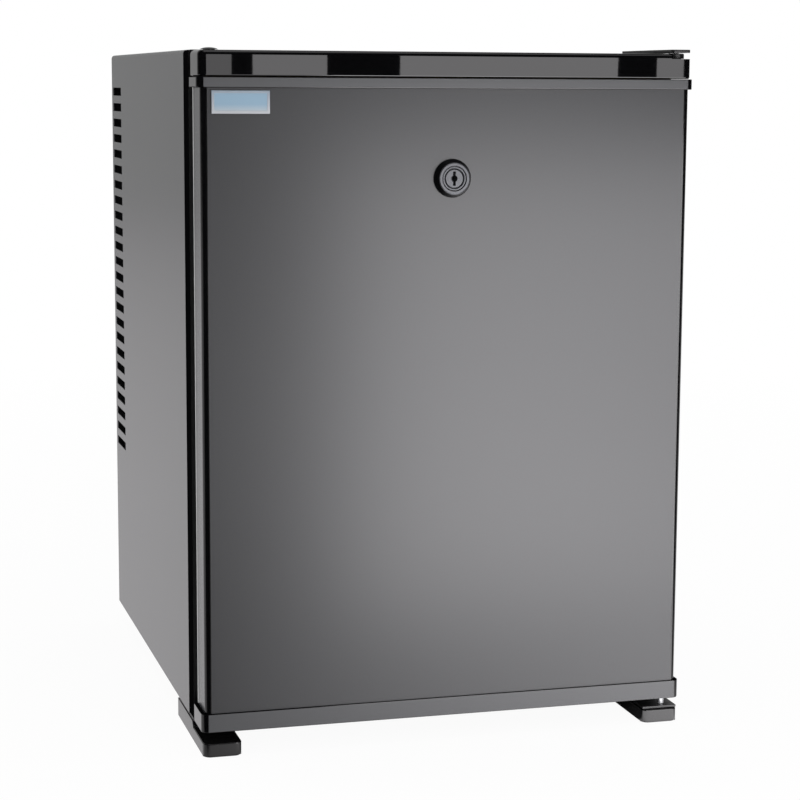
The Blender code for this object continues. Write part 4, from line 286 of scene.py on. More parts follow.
def join(piece, *others):
    """Make other shapes part of a piece."""
    bpy.ops.object.select_all(action="DESELECT")
    for other in others:
        other.select_set(True)
    piece.select_set(True)
    bpy.context.view_layer.objects.active = piece
    bpy.ops.object.join()
    return piece


def row(piece, count, step):
    """Copy a shape along a line and join the copies to it."""
    copies = []
    for number in range(1, count):
        copy = piece.copy()
        copy.data = piece.data.copy()
        copy.data.transform(Matrix.Translation(Vector(step) * number))
        scene.collection.objects.link(copy)
        copies.append(copy)
    return join(piece, *copies)


def fit(piece, body, material, stands_for=None, others=()):
    """Shade a finished piece, give it its material, hang it on its body and hide the CAD node it
    stands for. Each of the other materials goes to the faces that pass its test and aren't taken
    yet."""
    piece.data.materials.append(material)
    for number, (other, test) in enumerate(others, 1):
        piece.data.materials.append(other)
        for face in piece.data.polygons:
            if face.material_index == 0 and test(face):
                face.material_index = number
    only(piece)
    bpy.ops.object.shade_smooth_by_angle(angle=math.radians(32))
    flats = piece.modifiers.new("Flats", "WEIGHTED_NORMAL")
    flats.keep_sharp = True
    bpy.ops.object.modifier_apply(modifier="Flats")
    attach(piece, body)
    if stands_for:
        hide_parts(stands_for)


def surface(name, colour, roughness, metallic=0.0):
    """Start a material from its plain colour, roughness and metallic value."""
    made = bpy.data.materials.new(name)
    made.use_nodes = True
    shader = made.node_tree.nodes["Principled BSDF"]
    shader.inputs["Base Color"].default_value = tint(colour)
    shader.inputs["Roughness"].default_value = roughness
    shader.inputs["Metallic"].default_value = metallic
    return made


def grain(material, size, height, roughness=None, stretch=(1, 1, 1), colours=None):
    """Give a material a grain of this size and height in millimetres. Where a range of
    roughness or colours is given, the grain runs through it in place of the plain value."""
    tree = material.node_tree
    shader = tree.nodes["Principled BSDF"]
    place = add(tree, "Mapping", {"Vector": add(tree, "TexCoord").outputs["Object"],
                                  "Scale": tuple(part * 1000 / size for part in stretch)})
    speckle = add(tree, "TexNoise", {"Vector": place.outputs[0], "Scale": 1.0, "Detail": 3.0,
                                     "Roughness": 0.55})
    relief = add(tree, "Bump", {"Height": speckle.outputs[0], "Strength": 1.0,
                                "Distance": height / 1000})
    tree.links.new(relief.outputs[0], shader.inputs["Normal"])
    if roughness:
        polish = add(tree, "MapRange", {"Value": speckle.outputs[0], "From Min": 0.3,
                                        "From Max": 0.7, "To Min": roughness[0],
                                        "To Max": roughness[1]})
        tree.links.new(polish.outputs[0], shader.inputs["Roughness"])
    if colours:
        shades = add(tree, "ValToRGB", {0: speckle.outputs[0]})
        ends = shades.color_ramp.elements
        ends[0].position = 0.35
        ends[1].position = 0.65
        ends[0].color = tint(colours[0])
        ends[1].color = tint(colours[1])
        tree.links.new(shades.outputs[0], shader.inputs["Base Color"])
    return material


# Coil-coated steel: a roller-laid polyester film that is even in colour, satin, with a faint
# orange peel that only shows where a lamp grazes it. The coat on its back is thin and dull, and
# its black is partly painted shade, so the skin's inside shows dark through the vent slots.
coated_steel = grain(surface("Coil-coated charcoal steel", "#424345", 0.25), size=1.6,
                     height=0.004, roughness=(0.23, 0.27), colours=("#414244", "#434446"))
back_coat_and_shade = grain(surface("Black back coat and painted shade", "#0A0A0B", 0.60), size=1.6, height=0.004,
                  roughness=(0.55, 0.65))
SHEET = 0.0008
SKIN_BEND = 0.003
HEM_WIDTH = 0.015
FLANGE_WIDTH = 0.018
FLANGE_END_GAP = 0.005
FLANGE_SET_IN = 0.0002
FLANGE_ROOM = 0.004
SLOT_COUNT = 24
SLOT_PITCH = 0.01455
SLOT_HEIGHT = 0.0075
SLOT_LENGTH = 0.051
SLOT_CORNER = 0.0011
SLOT_TOP_MARGIN = 0.0339
SLOT_REAR_MARGIN = 0.008
# How far a cutter reaches past what it cuts.
PAST = 0.01
low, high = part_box("cabinet_wrap")
skin = block("cabinet_skin", low, high)
drop_faces(skin, lambda face: abs(face.normal.y) > 0.9 or face.normal.z < -0.9)
round_over(skin, SKIN_BEND, 6)
give_wall(skin, SHEET)
hems = [block("hem", (side * (high.x - HEM_WIDTH), low.y, low.z),
              (side * (high.x - SHEET / 2), high.y, low.z + SHEET)) for side in (-1, 1)]
flange_back = high.y - FLANGE_SET_IN
flanges = [block("flange", (side * (high.x - FLANGE_WIDTH), flange_back - SHEET,
                            low.z + FLANGE_END_GAP),
                 (side * (high.x - 0.0005), flange_back, high.z - FLANGE_END_GAP))
           for side in (-1, 1)]
slot_top = high.z - SLOT_TOP_MARGIN + SLOT_HEIGHT / 2
slot_back = high.y - SLOT_REAR_MARGIN
slots = block("slots", (low.x - PAST, slot_back - SLOT_LENGTH, slot_top - SLOT_HEIGHT),
              (high.x + PAST, slot_back, slot_top))
round_over(slots, SLOT_CORNER, 4, lambda edge: runs(edge, "X"))
row(slots, SLOT_COUNT, (0, 0, -SLOT_PITCH))
carve(skin, slots)
join(skin, *hems, *flanges)


def is_inner(face):
    """True for a face of the skin that looks into the cabinet."""
    side = face.normal.x * face.center.x < 0 and abs(face.normal.x) > 0.9
    top = face.normal.z < -0.9 and face.center.z > high.z - SKIN_BEND
    flange = face.normal.y < -0.9 and face.center.y > high.y - FLANGE_ROOM
    return side or top or flange


# The skin's inside faces take the back coat, whose black is partly painted shade.
fit(skin, "cabinet", coated_steel, "cabinet_wrap", [(back_coat_and_shade, is_inner)])


# Galvanised inner steelwork. The pan, the back panel, the rails, the bolt's keeper and the
# vessel's cradle are plain zinc-coated sheet, whose crystals show as flakes of unlike grey.
def dress(material, *names):
    """Give CAD nodes their real material."""
    for name in names:
        nodes[name].data.materials.clear()
        nodes[name].data.materials.append(material)


# A flake is nearly 7 mm across.
FLAKES_PER_METRE = 150
galvanised = surface("Galvanised steel", "#9DA0A3", 0.42, 0.85)
tree = galvanised.node_tree
flake_place = add(tree, "Mapping", {"Vector": add(tree, "TexCoord").outputs["Object"],
                                    "Scale": (FLAKES_PER_METRE,) * 3})
flakes = add(tree, "TexVoronoi", {"Vector": flake_place.outputs[0], "Scale": 1.0})
flake_share = add(tree, "RGBToBW", {0: flakes.outputs["Color"]})
flake_grey = add(tree, "Mix", {0: flake_share.outputs[0], 6: tint("#94979A"),
                               7: tint("#A6A9AC")}, data_type="RGBA")
tree.links.new(flake_grey.outputs[2], tree.nodes["Principled BSDF"].inputs["Base Color"])
dress(galvanised, "base_pan", "back_panel", "rear_rail_upper", "rear_rail_lower", "bolt_keeper",
      "vessel_cradle")


# Foam. Polyurethane poured between skin and liner, straw-coloured and full of fine cells. It
# shows only where it meets an opening.
foam = grain(surface("Rigid polyurethane foam", "#D8C48C", 0.95), size=1.2, height=0.3,
             colours=("#CDB87E", "#E0CE9A"))
dress(foam, "foam_insulation", "door_foam")


# Front frame. A black ABS moulding round the mouth, which covers the skin's cut edges, gives
# the gasket a flat seat and lets the lock's bolt up through a hole.
def centre(item):
    """The middle of an edge or a face."""
    return sum((corner.co for corner in item.verts), Vector()) / len(item.verts)


# The mould's fine etching makes the satin plastic's lights soft, and it is drawn coarser than it
# is, to show. The frame's outer sides are etched deep and painted black with no reflection at all,
# as painted shade for the gap between door and cabinet.
satin_black = grain(surface("Moulded black ABS, satin", "#0E0E0F", 0.42), size=0.9,
                    height=0.012, roughness=(0.36, 0.46))
painted_shade_black = grain(surface("Black ABS without reflection, painted shade", "#09090A", 0.85), size=0.9, height=0.03)
painted_shade_black.node_tree.nodes["Principled BSDF"].inputs["Specular IOR Level"].default_value = 0.0
MOUTH_HALF = 0.165
MOUTH_FLOOR = 0.051
MOUTH_CEILING = 0.517
FRAME_CORNER = 0.003
FRAME_EDGE = 0.0008
BOLT_HOLE_HALF = 0.009
BOLT_HOLE_CLEARANCE = 0.0022
low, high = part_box("front_frame")
bolt_low, bolt_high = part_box("lock_bolt")
rim = block("front_frame_ring", low, high)
carve(rim, block("mouth", (-MOUTH_HALF, low.y - PAST, MOUTH_FLOOR),
                 (MOUTH_HALF, high.y + PAST, MOUTH_CEILING)),
      block("bolt_hole", (-BOLT_HOLE_HALF, bolt_low.y - BOLT_HOLE_CLEARANCE, MOUTH_CEILING - PAST),
            (BOLT_HOLE_HALF, bolt_high.y + BOLT_HOLE_CLEARANCE, MOUTH_CEILING + 2 * PAST)))
outer = high.x - PAST
round_over(rim, FRAME_CORNER, 5, lambda edge: runs(edge, "Y") and abs(centre(edge).x) > outer)
round_over(rim, FRAME_EDGE, 3, lambda edge: centre(edge).y < low.y + 0.0001)
# The outer sides take the black without reflection, which is painted shade.
fit(rim, "cabinet", satin_black, "front_frame",
    [(painted_shade_black, lambda face: abs(face.normal.x) > 0.5 and abs(face.center.x) > outer)])


# Inner liner. High-impact polystyrene, vacuum formed in one piece with large radii, and with
# ledges on both sides that the shelves slide in on. The sheet has a soft sheen, slightly wavy.
white_plastic = grain(surface("White high-impact polystyrene", "#E8E9E8", 0.34), size=2.2,
                      height=0.010, roughness=(0.30, 0.38))
LINER_WALL = 0.002
LINER_CORNER = 0.010
LEDGE_LEVELS = (0.150, 0.210, 0.270, 0.330, 0.390)
LEDGE_INNER = 0.157
LEDGE_OUTER = 0.1655
LEDGE_HEIGHT = 0.005
LEDGE_FRONT_GAP = 0.037
LEDGE_REAR_GAP = 0.012
LEDGE_NOSE = 0.0018
# How close to a place an edge is taken to lie on it.
NEAR = 0.001
low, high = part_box("inner_liner")
low_inside = low + Vector((LINER_WALL, 0, LINER_WALL))
high_inside = high - Vector((LINER_WALL, LINER_WALL, LINER_WALL))
liner = block("inner_liner_shell", low_inside, high_inside)
drop_faces(liner, lambda face: face.normal.y < -0.9)
round_over(liner, LINER_CORNER, 8)
give_wall(liner, LINER_WALL, outward=True)
ledges = []
for side in (-1, 1):
    for level in LEDGE_LEVELS:
        ledge = block("ledge", (side * LEDGE_INNER, low.y + LEDGE_FRONT_GAP, level - LEDGE_HEIGHT),
                      (side * LEDGE_OUTER, high_inside.y - LEDGE_REAR_GAP, level))
        round_over(ledge, LEDGE_NOSE, 4, lambda edge: abs(centre(edge).x) < LEDGE_INNER + NEAR)
        ledges.append(ledge)
join(liner, *ledges)
fit(liner, "cabinet", white_plastic, "inner_liner")


# Wire shelves. Steel wire welded to a round rail, then dipped in white polyethylene, which
# rounds every joint and dries with a slow ripple in its shine.
def tube(name, points, radius, sides=16, closed=False):
    """A round bar or pipe along points."""
    line = bpy.data.curves.new(name, "CURVE")
    line.dimensions = "3D"
    line.bevel_depth = radius
    line.bevel_resolution = max(0, (sides - 4) // 2)
    line.use_fill_caps = True
    spline = line.splines.new("POLY")
    spline.points.add(len(points) - 1)
    for knot, point in zip(spline.points, points):
        knot.co = (*point, 1.0)
    spline.use_cyclic_u = closed
    piece = bpy.data.objects.new(name, line)
    scene.collection.objects.link(piece)
    only(piece)
    bpy.ops.object.convert(target="MESH")
    bpy.ops.object.mode_set(mode="EDIT")
    bpy.ops.mesh.select_all(action="SELECT")
    bpy.ops.mesh.remove_doubles(threshold=0.00001)
    bpy.ops.mesh.normals_make_consistent(inside=False)
    done()
    return bpy.context.object


def bent(corners, radius, closed=False, steps=10):
    """Points along straight runs whose corners are bent to a radius."""
    knots = [Vector(corner) for corner in corners]
    if closed:
        threes = zip([knots[-1]] + knots[:-1], knots, knots[1:] + [knots[0]])
    else:
        threes = zip(knots, knots[1:], knots[2:])
    line = [] if closed else [knots[0]]
    for before, corner, after in threes:
        arrive = (corner - before).normalized()
        leave = (after - corner).normalized()
        turn = arrive.angle(leave)
        start = corner - arrive * radius * math.tan(turn / 2)
        hub = corner + (leave - arrive).normalized() * radius / math.cos(turn / 2)
        axis = arrive.cross(leave)
        for step in range(steps + 1):
            line.append(hub + Matrix.Rotation(turn * step / steps, 3, axis) @ (start - hub))
    return line if closed else line + [knots[-1]]


dipped_wire = grain(surface("Polyethylene-dipped steel wire", "#E6E7E6", 0.30), size=3.0,
                    height=0.02, roughness=(0.26, 0.36))
RAIL = 0.0025
RAIL_BEND = 0.014
WIRE = 0.0015
WIRE_COUNT = 11
WIRE_OVERHANG = 0.0012
for name in ("shelf_lower", "shelf_upper"):
    low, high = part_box(name)
    level = low.z + RAIL
    x = high.x - RAIL
    front, back = low.y + RAIL, high.y - RAIL
    shelf = tube(name + "_wire", bent([(-x, front, level), (x, front, level), (x, back, level),
                                       (-x, back, level)], RAIL_BEND, closed=True),
                 RAIL, closed=True)
    middle = (front + back) / 2
    parts = [tube("bar", [(-x, middle, level), (x, middle, level)], RAIL)]
    top = high.z - WIRE
    for number in range(1, WIRE_COUNT + 1):
        at = -x + 2 * x * number / (WIRE_COUNT + 1)
        parts.append(tube("wire", [(at, front - WIRE_OVERHANG, top),
                                   (at, back + WIRE_OVERHANG, top)], WIRE, 10))
    join(shelf, *parts)
    fit(shelf, "cabinet", dipped_wire, name)


# Evaporator. An aluminium extrusion whose fins stand upright in the compartment, mounted
# through a hatch in the back wall that a black plug closes.
# Mill finish: soft grey lights with drawing lines along the run, drawn coarser to show.
mill_aluminium = grain(surface("Mill-finish extruded aluminium", "#AEB0B3", 0.44, 1.0),
                       size=0.9, height=0.002, roughness=(0.40, 0.48), stretch=(1, 1, 0.02))
dress(mill_aluminium, "evaporator_fins")
dress(satin_black, "hatch_plug")


# Drip tray and drain. A white tray under the fins, a soft black hose through the back wall,
# and a cup on the warm vessel that the water dries from. The hose is dull, with a faint bloom.
soft_pvc = grain(surface("Soft black PVC", "#121213", 0.62), size=1.4, height=0.02,
                 roughness=(0.56, 0.70))
TRAY_WALL = 0.0015
TRAY_CORNER = 0.004
HOSE_BEND = 0.010
low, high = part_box("drip_tray")
tray = block("drip_tray_shell", low, high)
drop_faces(tray, lambda face: face.normal.z > 0.9)
round_over(tray, TRAY_CORNER, 5)
give_wall(tray, TRAY_WALL)
fit(tray, "cabinet", white_plastic, "drip_tray")
low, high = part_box("drain_tube")
drain_x = (low.x + high.x) / 2
hose_radius = (high.x - low.x) / 2
hose = tube("drain_hose", bent([(drain_x, low.y, high.z - hose_radius),
                                (drain_x, high.y - hose_radius, high.z - hose_radius),
                                (drain_x, high.y - hose_radius, low.z)], HOSE_BEND), hose_radius)
fit(hose, "cabinet", soft_pvc, "drain_tube")
dress(satin_black, "condensate_cup")


# Control housing. A white cover on the compartment's ceiling, with a ribbed lamp window of
# opal acrylic, which is glossy and lets light a little way in.
opal = grain(surface("Opal acrylic lamp window", "#F1F2F0", 0.18), size=4.0, height=0.02,
             roughness=(0.15, 0.22))
opal.node_tree.nodes["Principled BSDF"].inputs["Subsurface Weight"].default_value = 0.25
HOUSING_CORNER = 0.005
WINDOW_EDGE = 0.0012
RIB_RADIUS = 0.0006
RIB_PITCH = 0.004
RIB_END_GAP = 0.003
low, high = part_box("control_housing")
housing = block("control_cover", low, high)
round_over(housing, HOUSING_CORNER, 6, lambda edge: centre(edge).z < high.z - NEAR)
fit(housing, "cabinet", white_plastic, "control_housing")
low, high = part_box("lamp_lens")
window = block("lamp_window", low, high)
round_over(window, WINDOW_EDGE, 4, lambda edge: centre(edge).z < high.z - NEAR)
ribs = []
for number in range(int((high.y - low.y - 2 * RIB_END_GAP) / RIB_PITCH)):
    at = low.y + RIB_PITCH + number * RIB_PITCH
    ribs.append(tube("rib", [(low.x + RIB_END_GAP, at, low.z + RIB_RADIUS),
                             (high.x - RIB_END_GAP, at, low.z + RIB_RADIUS)], RIB_RADIUS, 8))
join(window, *ribs)
fit(window, "cabinet", opal, "lamp_lens")


# Thermostat knob. A white moulded knob with a grip bar and a black pointer line, pushed onto
# the thermostat's spindle. The line is printed, and its ink is duller than the plastic.
def turned(name, base, axis, profile, steps=48, closed=False):
    """Spin a profile of radius and distance along the axis into a turned piece."""
    mesh = bpy.data.meshes.new(name)
    edges = [(at, at + 1) for at in range(len(profile) - 1)]
    if closed:
        edges.append((len(profile) - 1, 0))
    mesh.from_pydata([(radius, 0, along) for radius, along in profile], edges, [])
    piece = bpy.data.objects.new(name, mesh)
    scene.collection.objects.link(piece)
    only(piece)
    bpy.ops.object.mode_set(mode="EDIT")
    bpy.ops.mesh.select_all(action="SELECT")
    bpy.ops.mesh.spin(steps=steps, angle=math.tau, center=(0, 0, 0), axis=(0, 0, 1))
    bpy.ops.mesh.select_all(action="SELECT")
    bpy.ops.mesh.remove_doubles(threshold=0.00001)
    bpy.ops.mesh.normals_make_consistent(inside=False)
    done()
    turns = {"X": Matrix.Rotation(math.radians(90), 4, "Y"),
             "Y": Matrix.Rotation(math.radians(-90), 4, "X"), "Z": Matrix.Identity(4)}
    mesh.transform(Matrix.Translation(base) @ turns[axis])
    return piece


def upright_axis(node):
    """The place on the floor below the middle of a CAD node, where its axis starts."""
    low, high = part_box(node)
    return (low.x + high.x) / 2, (low.y + high.y) / 2, 0


ink = grain(surface("Black pad-printing ink", "#161617", 0.55), size=0.8, height=0.004,
            roughness=(0.5, 0.6))
KNOB_RADIUS = 0.013
KNOB_HEIGHT = 0.007
KNOB_GAP = 0.0003
SPINDLE_RADIUS = 0.003
SPINDLE_LENGTH = 0.008
GRIP_HALF_WIDTH = 0.0025
GRIP_HALF_LENGTH = 0.0098
POINTER_HALF_WIDTH = 0.0005
low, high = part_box("thermostat_knob")
knob_x, knob_y, base = upright_axis("thermostat_knob")
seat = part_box("control_housing")[0].z - KNOB_GAP
knob = turned("knob", (knob_x, knob_y, base), "Z",
              [(0, seat + SPINDLE_LENGTH), (SPINDLE_RADIUS - 0.0001, seat + SPINDLE_LENGTH),
               (SPINDLE_RADIUS, seat), (KNOB_RADIUS - 0.0004, seat),
               (KNOB_RADIUS, seat - 0.0004), (0.0125, seat - 0.0052), (0.0118, seat - 0.0065),
               (0.0105, seat - KNOB_HEIGHT), (0, seat - KNOB_HEIGHT)], 64)
grip = block("grip", (knob_x - GRIP_HALF_WIDTH, knob_y - GRIP_HALF_LENGTH, low.z),
             (knob_x + GRIP_HALF_WIDTH, knob_y + GRIP_HALF_LENGTH, seat - 0.0065))
round_over(grip, 0.0012, 4)
join(knob, grip)
fit(knob, "thermostat", white_plastic, "thermostat_knob")
pointer = block("knob_pointer", (knob_x - POINTER_HALF_WIDTH, knob_y - 0.0090, low.z - 0.00004),
                (knob_x + POINTER_HALF_WIDTH, knob_y - 0.0020, low.z + 0.0004))
round_over(pointer, 0.0002, 2)
fit(pointer, "thermostat", ink)


# Condenser. A steel tube with pressed-on sheet fins, at the top of the open back, where it
# sheds the heat. It is stove-enamelled after assembly, so its black shine has a slow ripple.
black_enamel = grain(surface("Black stove enamel", "#131314", 0.34), size=2.5, height=0.03,
                     roughness=(0.28, 0.42))
CONDENSER_RADIUS = 0.008
FIN_COUNT = 26
FIN_PITCH = 0.0088
FIN_SHEET = 0.0008
FIN_CORNER = 0.003
low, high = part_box("condenser")
UNIT_Y = (low.y + high.y) / 2
CONDENSER_Z = (low.z + high.z) / 2
CONDENSER_END = low.x
condenser = tube("condenser_tube", [(low.x, UNIT_Y, CONDENSER_Z), (high.x, UNIT_Y, CONDENSER_Z)],
                 CONDENSER_RADIUS, 24)
first = (low.x + high.x) / 2 - FIN_PITCH * (FIN_COUNT - 1) / 2
fin = block("fin", (first - FIN_SHEET / 2, low.y, low.z), (first + FIN_SHEET / 2, high.y, high.z))
round_over(fin, FIN_CORNER, 3, lambda edge: runs(edge, "X"))
join(condenser, row(fin, FIN_COUNT, (FIN_PITCH, 0, 0)))
fit(condenser, "cabinet", black_enamel, "condenser")


# Boiler. A galvanised can packed with mineral wool round the heater and the bubble pump, with
# a pressed shoulder and a rolled bead, held to the back panel by a strap.
CAN_RADIUS = 0.027
SHOULDER_Z = 0.3795
BEAD_Z = 0.350
BEAD = ((0, 0.0025), (0.0009, 0.0015), (0.0012, 0), (0.0009, -0.0015), (0, -0.0025))
STRAP_INNER = 0.0273
STRAP_OUTER = 0.0288
TAB_HALF = 0.015
low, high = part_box("boiler_casing")
BOILER_X = (low.x + high.x) / 2
boiler = turned("boiler_can", (BOILER_X, UNIT_Y, 0), "Z",
                [(0, high.z), (0.0095, high.z), (0.010, high.z - 0.0005),
                 (CAN_RADIUS - 0.0008, SHOULDER_Z + 0.0011), (CAN_RADIUS, SHOULDER_Z)]
                + [(CAN_RADIUS + out, BEAD_Z + up) for out, up in BEAD]
                + [(CAN_RADIUS, low.z + 0.001), (CAN_RADIUS - 0.0008, low.z), (0, low.z)], 64)
fit(boiler, "cabinet", galvanised, "boiler_casing")
low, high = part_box("boiler_strap")
strap = turned("strap_band", (BOILER_X, UNIT_Y, 0), "Z",
               [(STRAP_OUTER, high.z), (STRAP_OUTER, low.z), (STRAP_INNER, low.z),
                (STRAP_INNER, high.z)], 64, True)
tab = block("tab", (BOILER_X - TAB_HALF, low.y, low.z),
            (BOILER_X + TAB_HALF, UNIT_Y - STRAP_INNER - 0.0002, high.z))
round_over(tab, 0.0012, 3, lambda edge: runs(edge, "Y"))
join(strap, tab)
fit(strap, "cabinet", galvanised, "boiler_strap")


# Pipework. Seamless steel tube, bent cold and enamelled black: the rectifier leads to the
# condenser, the coil below takes the gas back, and all of it ends in the vessel at the foot.
PIPE_BEND = 0.019
PIPE_JOINT_GAP = 0.0003


def lay(node, name, corners, radius, bend=PIPE_BEND, sides=20):
    """Bend a pipe through its corners and put it in the place of its node."""
    pipe = tube(name, bent(corners, bend), radius, sides)
    fit(pipe, "cabinet", black_enamel, node)


low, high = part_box("rectifier_tube")
lay("rectifier_tube", "rectifier", [(BOILER_X, UNIT_Y, low.z), (BOILER_X, UNIT_Y, CONDENSER_Z),
                                    (low.x, UNIT_Y, CONDENSER_Z)], 0.007)
LIQUID_RADIUS = 0.006
low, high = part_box("liquid_pipe")
near, far_end = low.x + LIQUID_RADIUS, high.x - LIQUID_RADIUS
level = low.z + LIQUID_RADIUS
lay("liquid_pipe", "liquid_line", [(CONDENSER_END - PIPE_JOINT_GAP, UNIT_Y, CONDENSER_Z),
                                   (near, UNIT_Y, CONDENSER_Z), (near, UNIT_Y, level),
                                   (far_end, UNIT_Y, level), (far_end, low.y, level)],
    LIQUID_RADIUS)
GAS_RADIUS = 0.011
GAS_BEND = 0.024
low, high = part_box("gas_pipe")
GAS_X = (low.x + high.x) / 2
level = high.z - GAS_RADIUS
lay("gas_pipe", "gas_line", [(GAS_X, low.y, level), (GAS_X, UNIT_Y, level),
                             (GAS_X, UNIT_Y, low.z)], GAS_RADIUS, GAS_BEND, 24)
RETURN_RADIUS = 0.007
RETURN_BEND = 0.0115
low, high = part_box("return_pipe")
return_x = (low.x + high.x) / 2
return_y = high.y - RETURN_RADIUS
level = high.z - RETURN_RADIUS
lay("return_pipe", "return_line", [(return_x, low.y, level), (return_x, return_y, level),
                                   (return_x, return_y, low.z + 0.004)],
    RETURN_RADIUS, RETURN_BEND)
COIL_RADIUS = 0.008
COIL_RUNS = 4
COIL_PITCH = 0.044
COIL_LOWEST = 0.130
COIL_SLOPE = 0.0015
COIL_OUTLET = (-0.020, 0.086)
low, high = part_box("absorber_coil")
ends = [high.x - COIL_RADIUS if number % 2 else low.x + COIL_RADIUS
        for number in range(COIL_RUNS - 1)] + [COIL_OUTLET[0]]
at = GAS_X
corners = [(at, UNIT_Y, high.z)]
for number, end in enumerate(ends):
    level = COIL_LOWEST + (COIL_RUNS - 1 - number) * COIL_PITCH
    corners += [(at, UNIT_Y, level + COIL_SLOPE), (end, UNIT_Y, level - COIL_SLOPE)]
    at = end
corners.append((at, UNIT_Y, COIL_OUTLET[1]))
lay("absorber_coil", "absorber_serpentine", corners, COIL_RADIUS, sides=24)
VESSEL_ENDS = (-0.085, 0.110)
VESSEL_Z = 0.065
VESSEL_RADIUS = 0.025
DOME_FLAT = 0.010
DOME_DEPTH = 0.010
SEAM = ((0, 0.003), (0.0006, 0.002), (0.0007, 0), (0.0006, -0.002), (0, -0.003))
half = (VESSEL_ENDS[1] - VESSEL_ENDS[0]) / 2
turns = [math.radians(9 * step) for step in range(11)]
dome = [(DOME_FLAT + (VESSEL_RADIUS - DOME_FLAT) * math.sin(turn),
         half - DOME_DEPTH * (1 - math.cos(turn))) for turn in turns]
vessel = turned("vessel", (sum(VESSEL_ENDS) / 2, UNIT_Y, VESSEL_Z), "X",
                [(0, half)] + dome + [(VESSEL_RADIUS + out, along) for out, along in SEAM]
                + [(radius, -along) for radius, along in reversed(dome)] + [(0, -half)], 64)
outlet = tube("outlet", [(VESSEL_ENDS[1] - DOME_DEPTH, UNIT_Y, VESSEL_Z),
                         (BOILER_X - CAN_RADIUS + 0.001, UNIT_Y, VESSEL_Z)], 0.006, 20)
join(vessel, outlet)
fit(vessel, "cabinet", black_enamel, "absorber_vessel")


# Terminal box and cord gland. A black moulded box for the wiring, whose cover closes on a
# narrow seam, and the ribbed bushing that a mains cord would leave by.
BOX_CORNER = 0.003
COVER_SEAM_Y = 0.010
COVER_SEAM = 0.0008
low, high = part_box("terminal_box")
wiring = block("terminal_cover", low, high)
round_over(wiring, BOX_CORNER, 5, lambda edge: centre(edge).y > low.y + NEAR)
seam_y = low.y + COVER_SEAM_Y
seam_cut = block("seam", (low.x - PAST, seam_y, low.z - PAST),
                 (high.x + PAST, seam_y + COVER_SEAM, high.z + PAST))
carve(seam_cut, block("inner", (low.x + COVER_SEAM, seam_y - NEAR, low.z + COVER_SEAM),
                      (high.x - COVER_SEAM, seam_y + 2 * NEAR, high.z - COVER_SEAM)))
carve(wiring, seam_cut)
fit(wiring, "cabinet", satin_black, "terminal_box")
GLAND_RADIUS = 0.0065
GLAND_FLANGE = 0.010
GLAND_BORE = 0.0038
GLAND_GROOVES = (0.0106, 0.0074)
low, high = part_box("cord_gland")
grooves = [(GLAND_RADIUS - deep, groove + along) for groove in GLAND_GROOVES
           for deep, along in ((0, 0.0004), (0.0005, 0), (0, -0.0004))]
gland = turned("gland", ((low.x + high.x) / 2, low.y, (low.z + high.z) / 2), "Y",
               [(0.0058, 0.014), (GLAND_RADIUS, 0.0133)] + grooves
               + [(GLAND_RADIUS, 0.004), (GLAND_FLANGE - 0.0004, 0.004),
                  (GLAND_FLANGE, 0.0036), (GLAND_FLANGE, 0), (GLAND_BORE, 0),
                  (GLAND_BORE, 0.0135)], 40, True)
fit(gland, "cabinet", satin_black, "cord_gland")


# Feet. Low black mouldings: the front pair reaches out under the door, with a gap along the
# outer side of its seat, and the rear pair is a plain round stud on each side.
def softened(node, name, radius, steps):
    """A copy of a CAD solid with its flat faces cleaned and its sharp edges rounded."""
    piece = bpy.data.objects.new(name, nodes[node].data.copy())
    scene.collection.objects.link(piece)
    piece.data.materials.clear()
    only(piece)
    bpy.ops.object.mode_set(mode="EDIT")
    bpy.ops.mesh.select_all(action="SELECT")
    bpy.ops.mesh.remove_doubles(threshold=0.00001)
    bpy.ops.mesh.dissolve_limited(angle_limit=math.radians(1))
    done()
    round_over(piece, radius, steps)
    return piece


# Polypropylene is shinier than the frame's ABS, so the feet mirror the floor softly.
foot_plastic = grain(surface("Moulded black polypropylene", "#0D0D0E", 0.22), size=1.6,
                     height=0.006, roughness=(0.19, 0.25))
SEAT_GAP_START = 0.050
SEAT_GAP_DEPTH = 0.0012
SEAT_GAP_HEIGHT = 0.0022
STUD_RADIUS = 0.015
for side in ("left", "right"):
    foot = softened("front_foot_" + side, side + "_front_foot", 0.0010, 4)
    low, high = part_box("front_foot_" + side)
    outer = low.x if side == "left" else high.x
    carve(foot, block("seat_gap", (outer - SEAT_GAP_DEPTH, low.y + SEAT_GAP_START,
                                   high.z - SEAT_GAP_HEIGHT),
                      (outer + SEAT_GAP_DEPTH, high.y + PAST, high.z + PAST)))
    fit(foot, "cabinet", foot_plastic, "front_foot_" + side)
    low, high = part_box("rear_foot_" + side)
    stud = turned(side + "_rear_foot", upright_axis("rear_foot_" + side), "Z",
                  [(0, high.z), (STUD_RADIUS - 0.002, high.z), (STUD_RADIUS - 0.0002, 0.004),
                   (STUD_RADIUS, 0.002), (STUD_RADIUS - 0.0004, 0.0006),
                   (STUD_RADIUS - 0.001, 0), (0, 0)])
    fit(stud, "cabinet", satin_black, "rear_foot_" + side)


# Hinge plates. Laser-cut steel, powder-coated black with a fine pebbled skin; the upper one lies
# on the cabinet and covers its pin, and the lower one is clamped between cabinet and right foot.
powder_coat = grain(surface("Black powder-coated steel", "#151516", 0.40), size=1.4,
                    height=0.03, roughness=(0.34, 0.48))
for name in ("hinge_plate_top", "hinge_plate_bottom"):
    plate = softened(name, name + "_sheet", 0.0004, 2)
    fit(plate, "cabinet", powder_coat, name)


# Hinge pins and screws. The pins are ground steel with a chamfer that helps the door on, and
# the countersunk screws are zinc plated, with a cross recess.

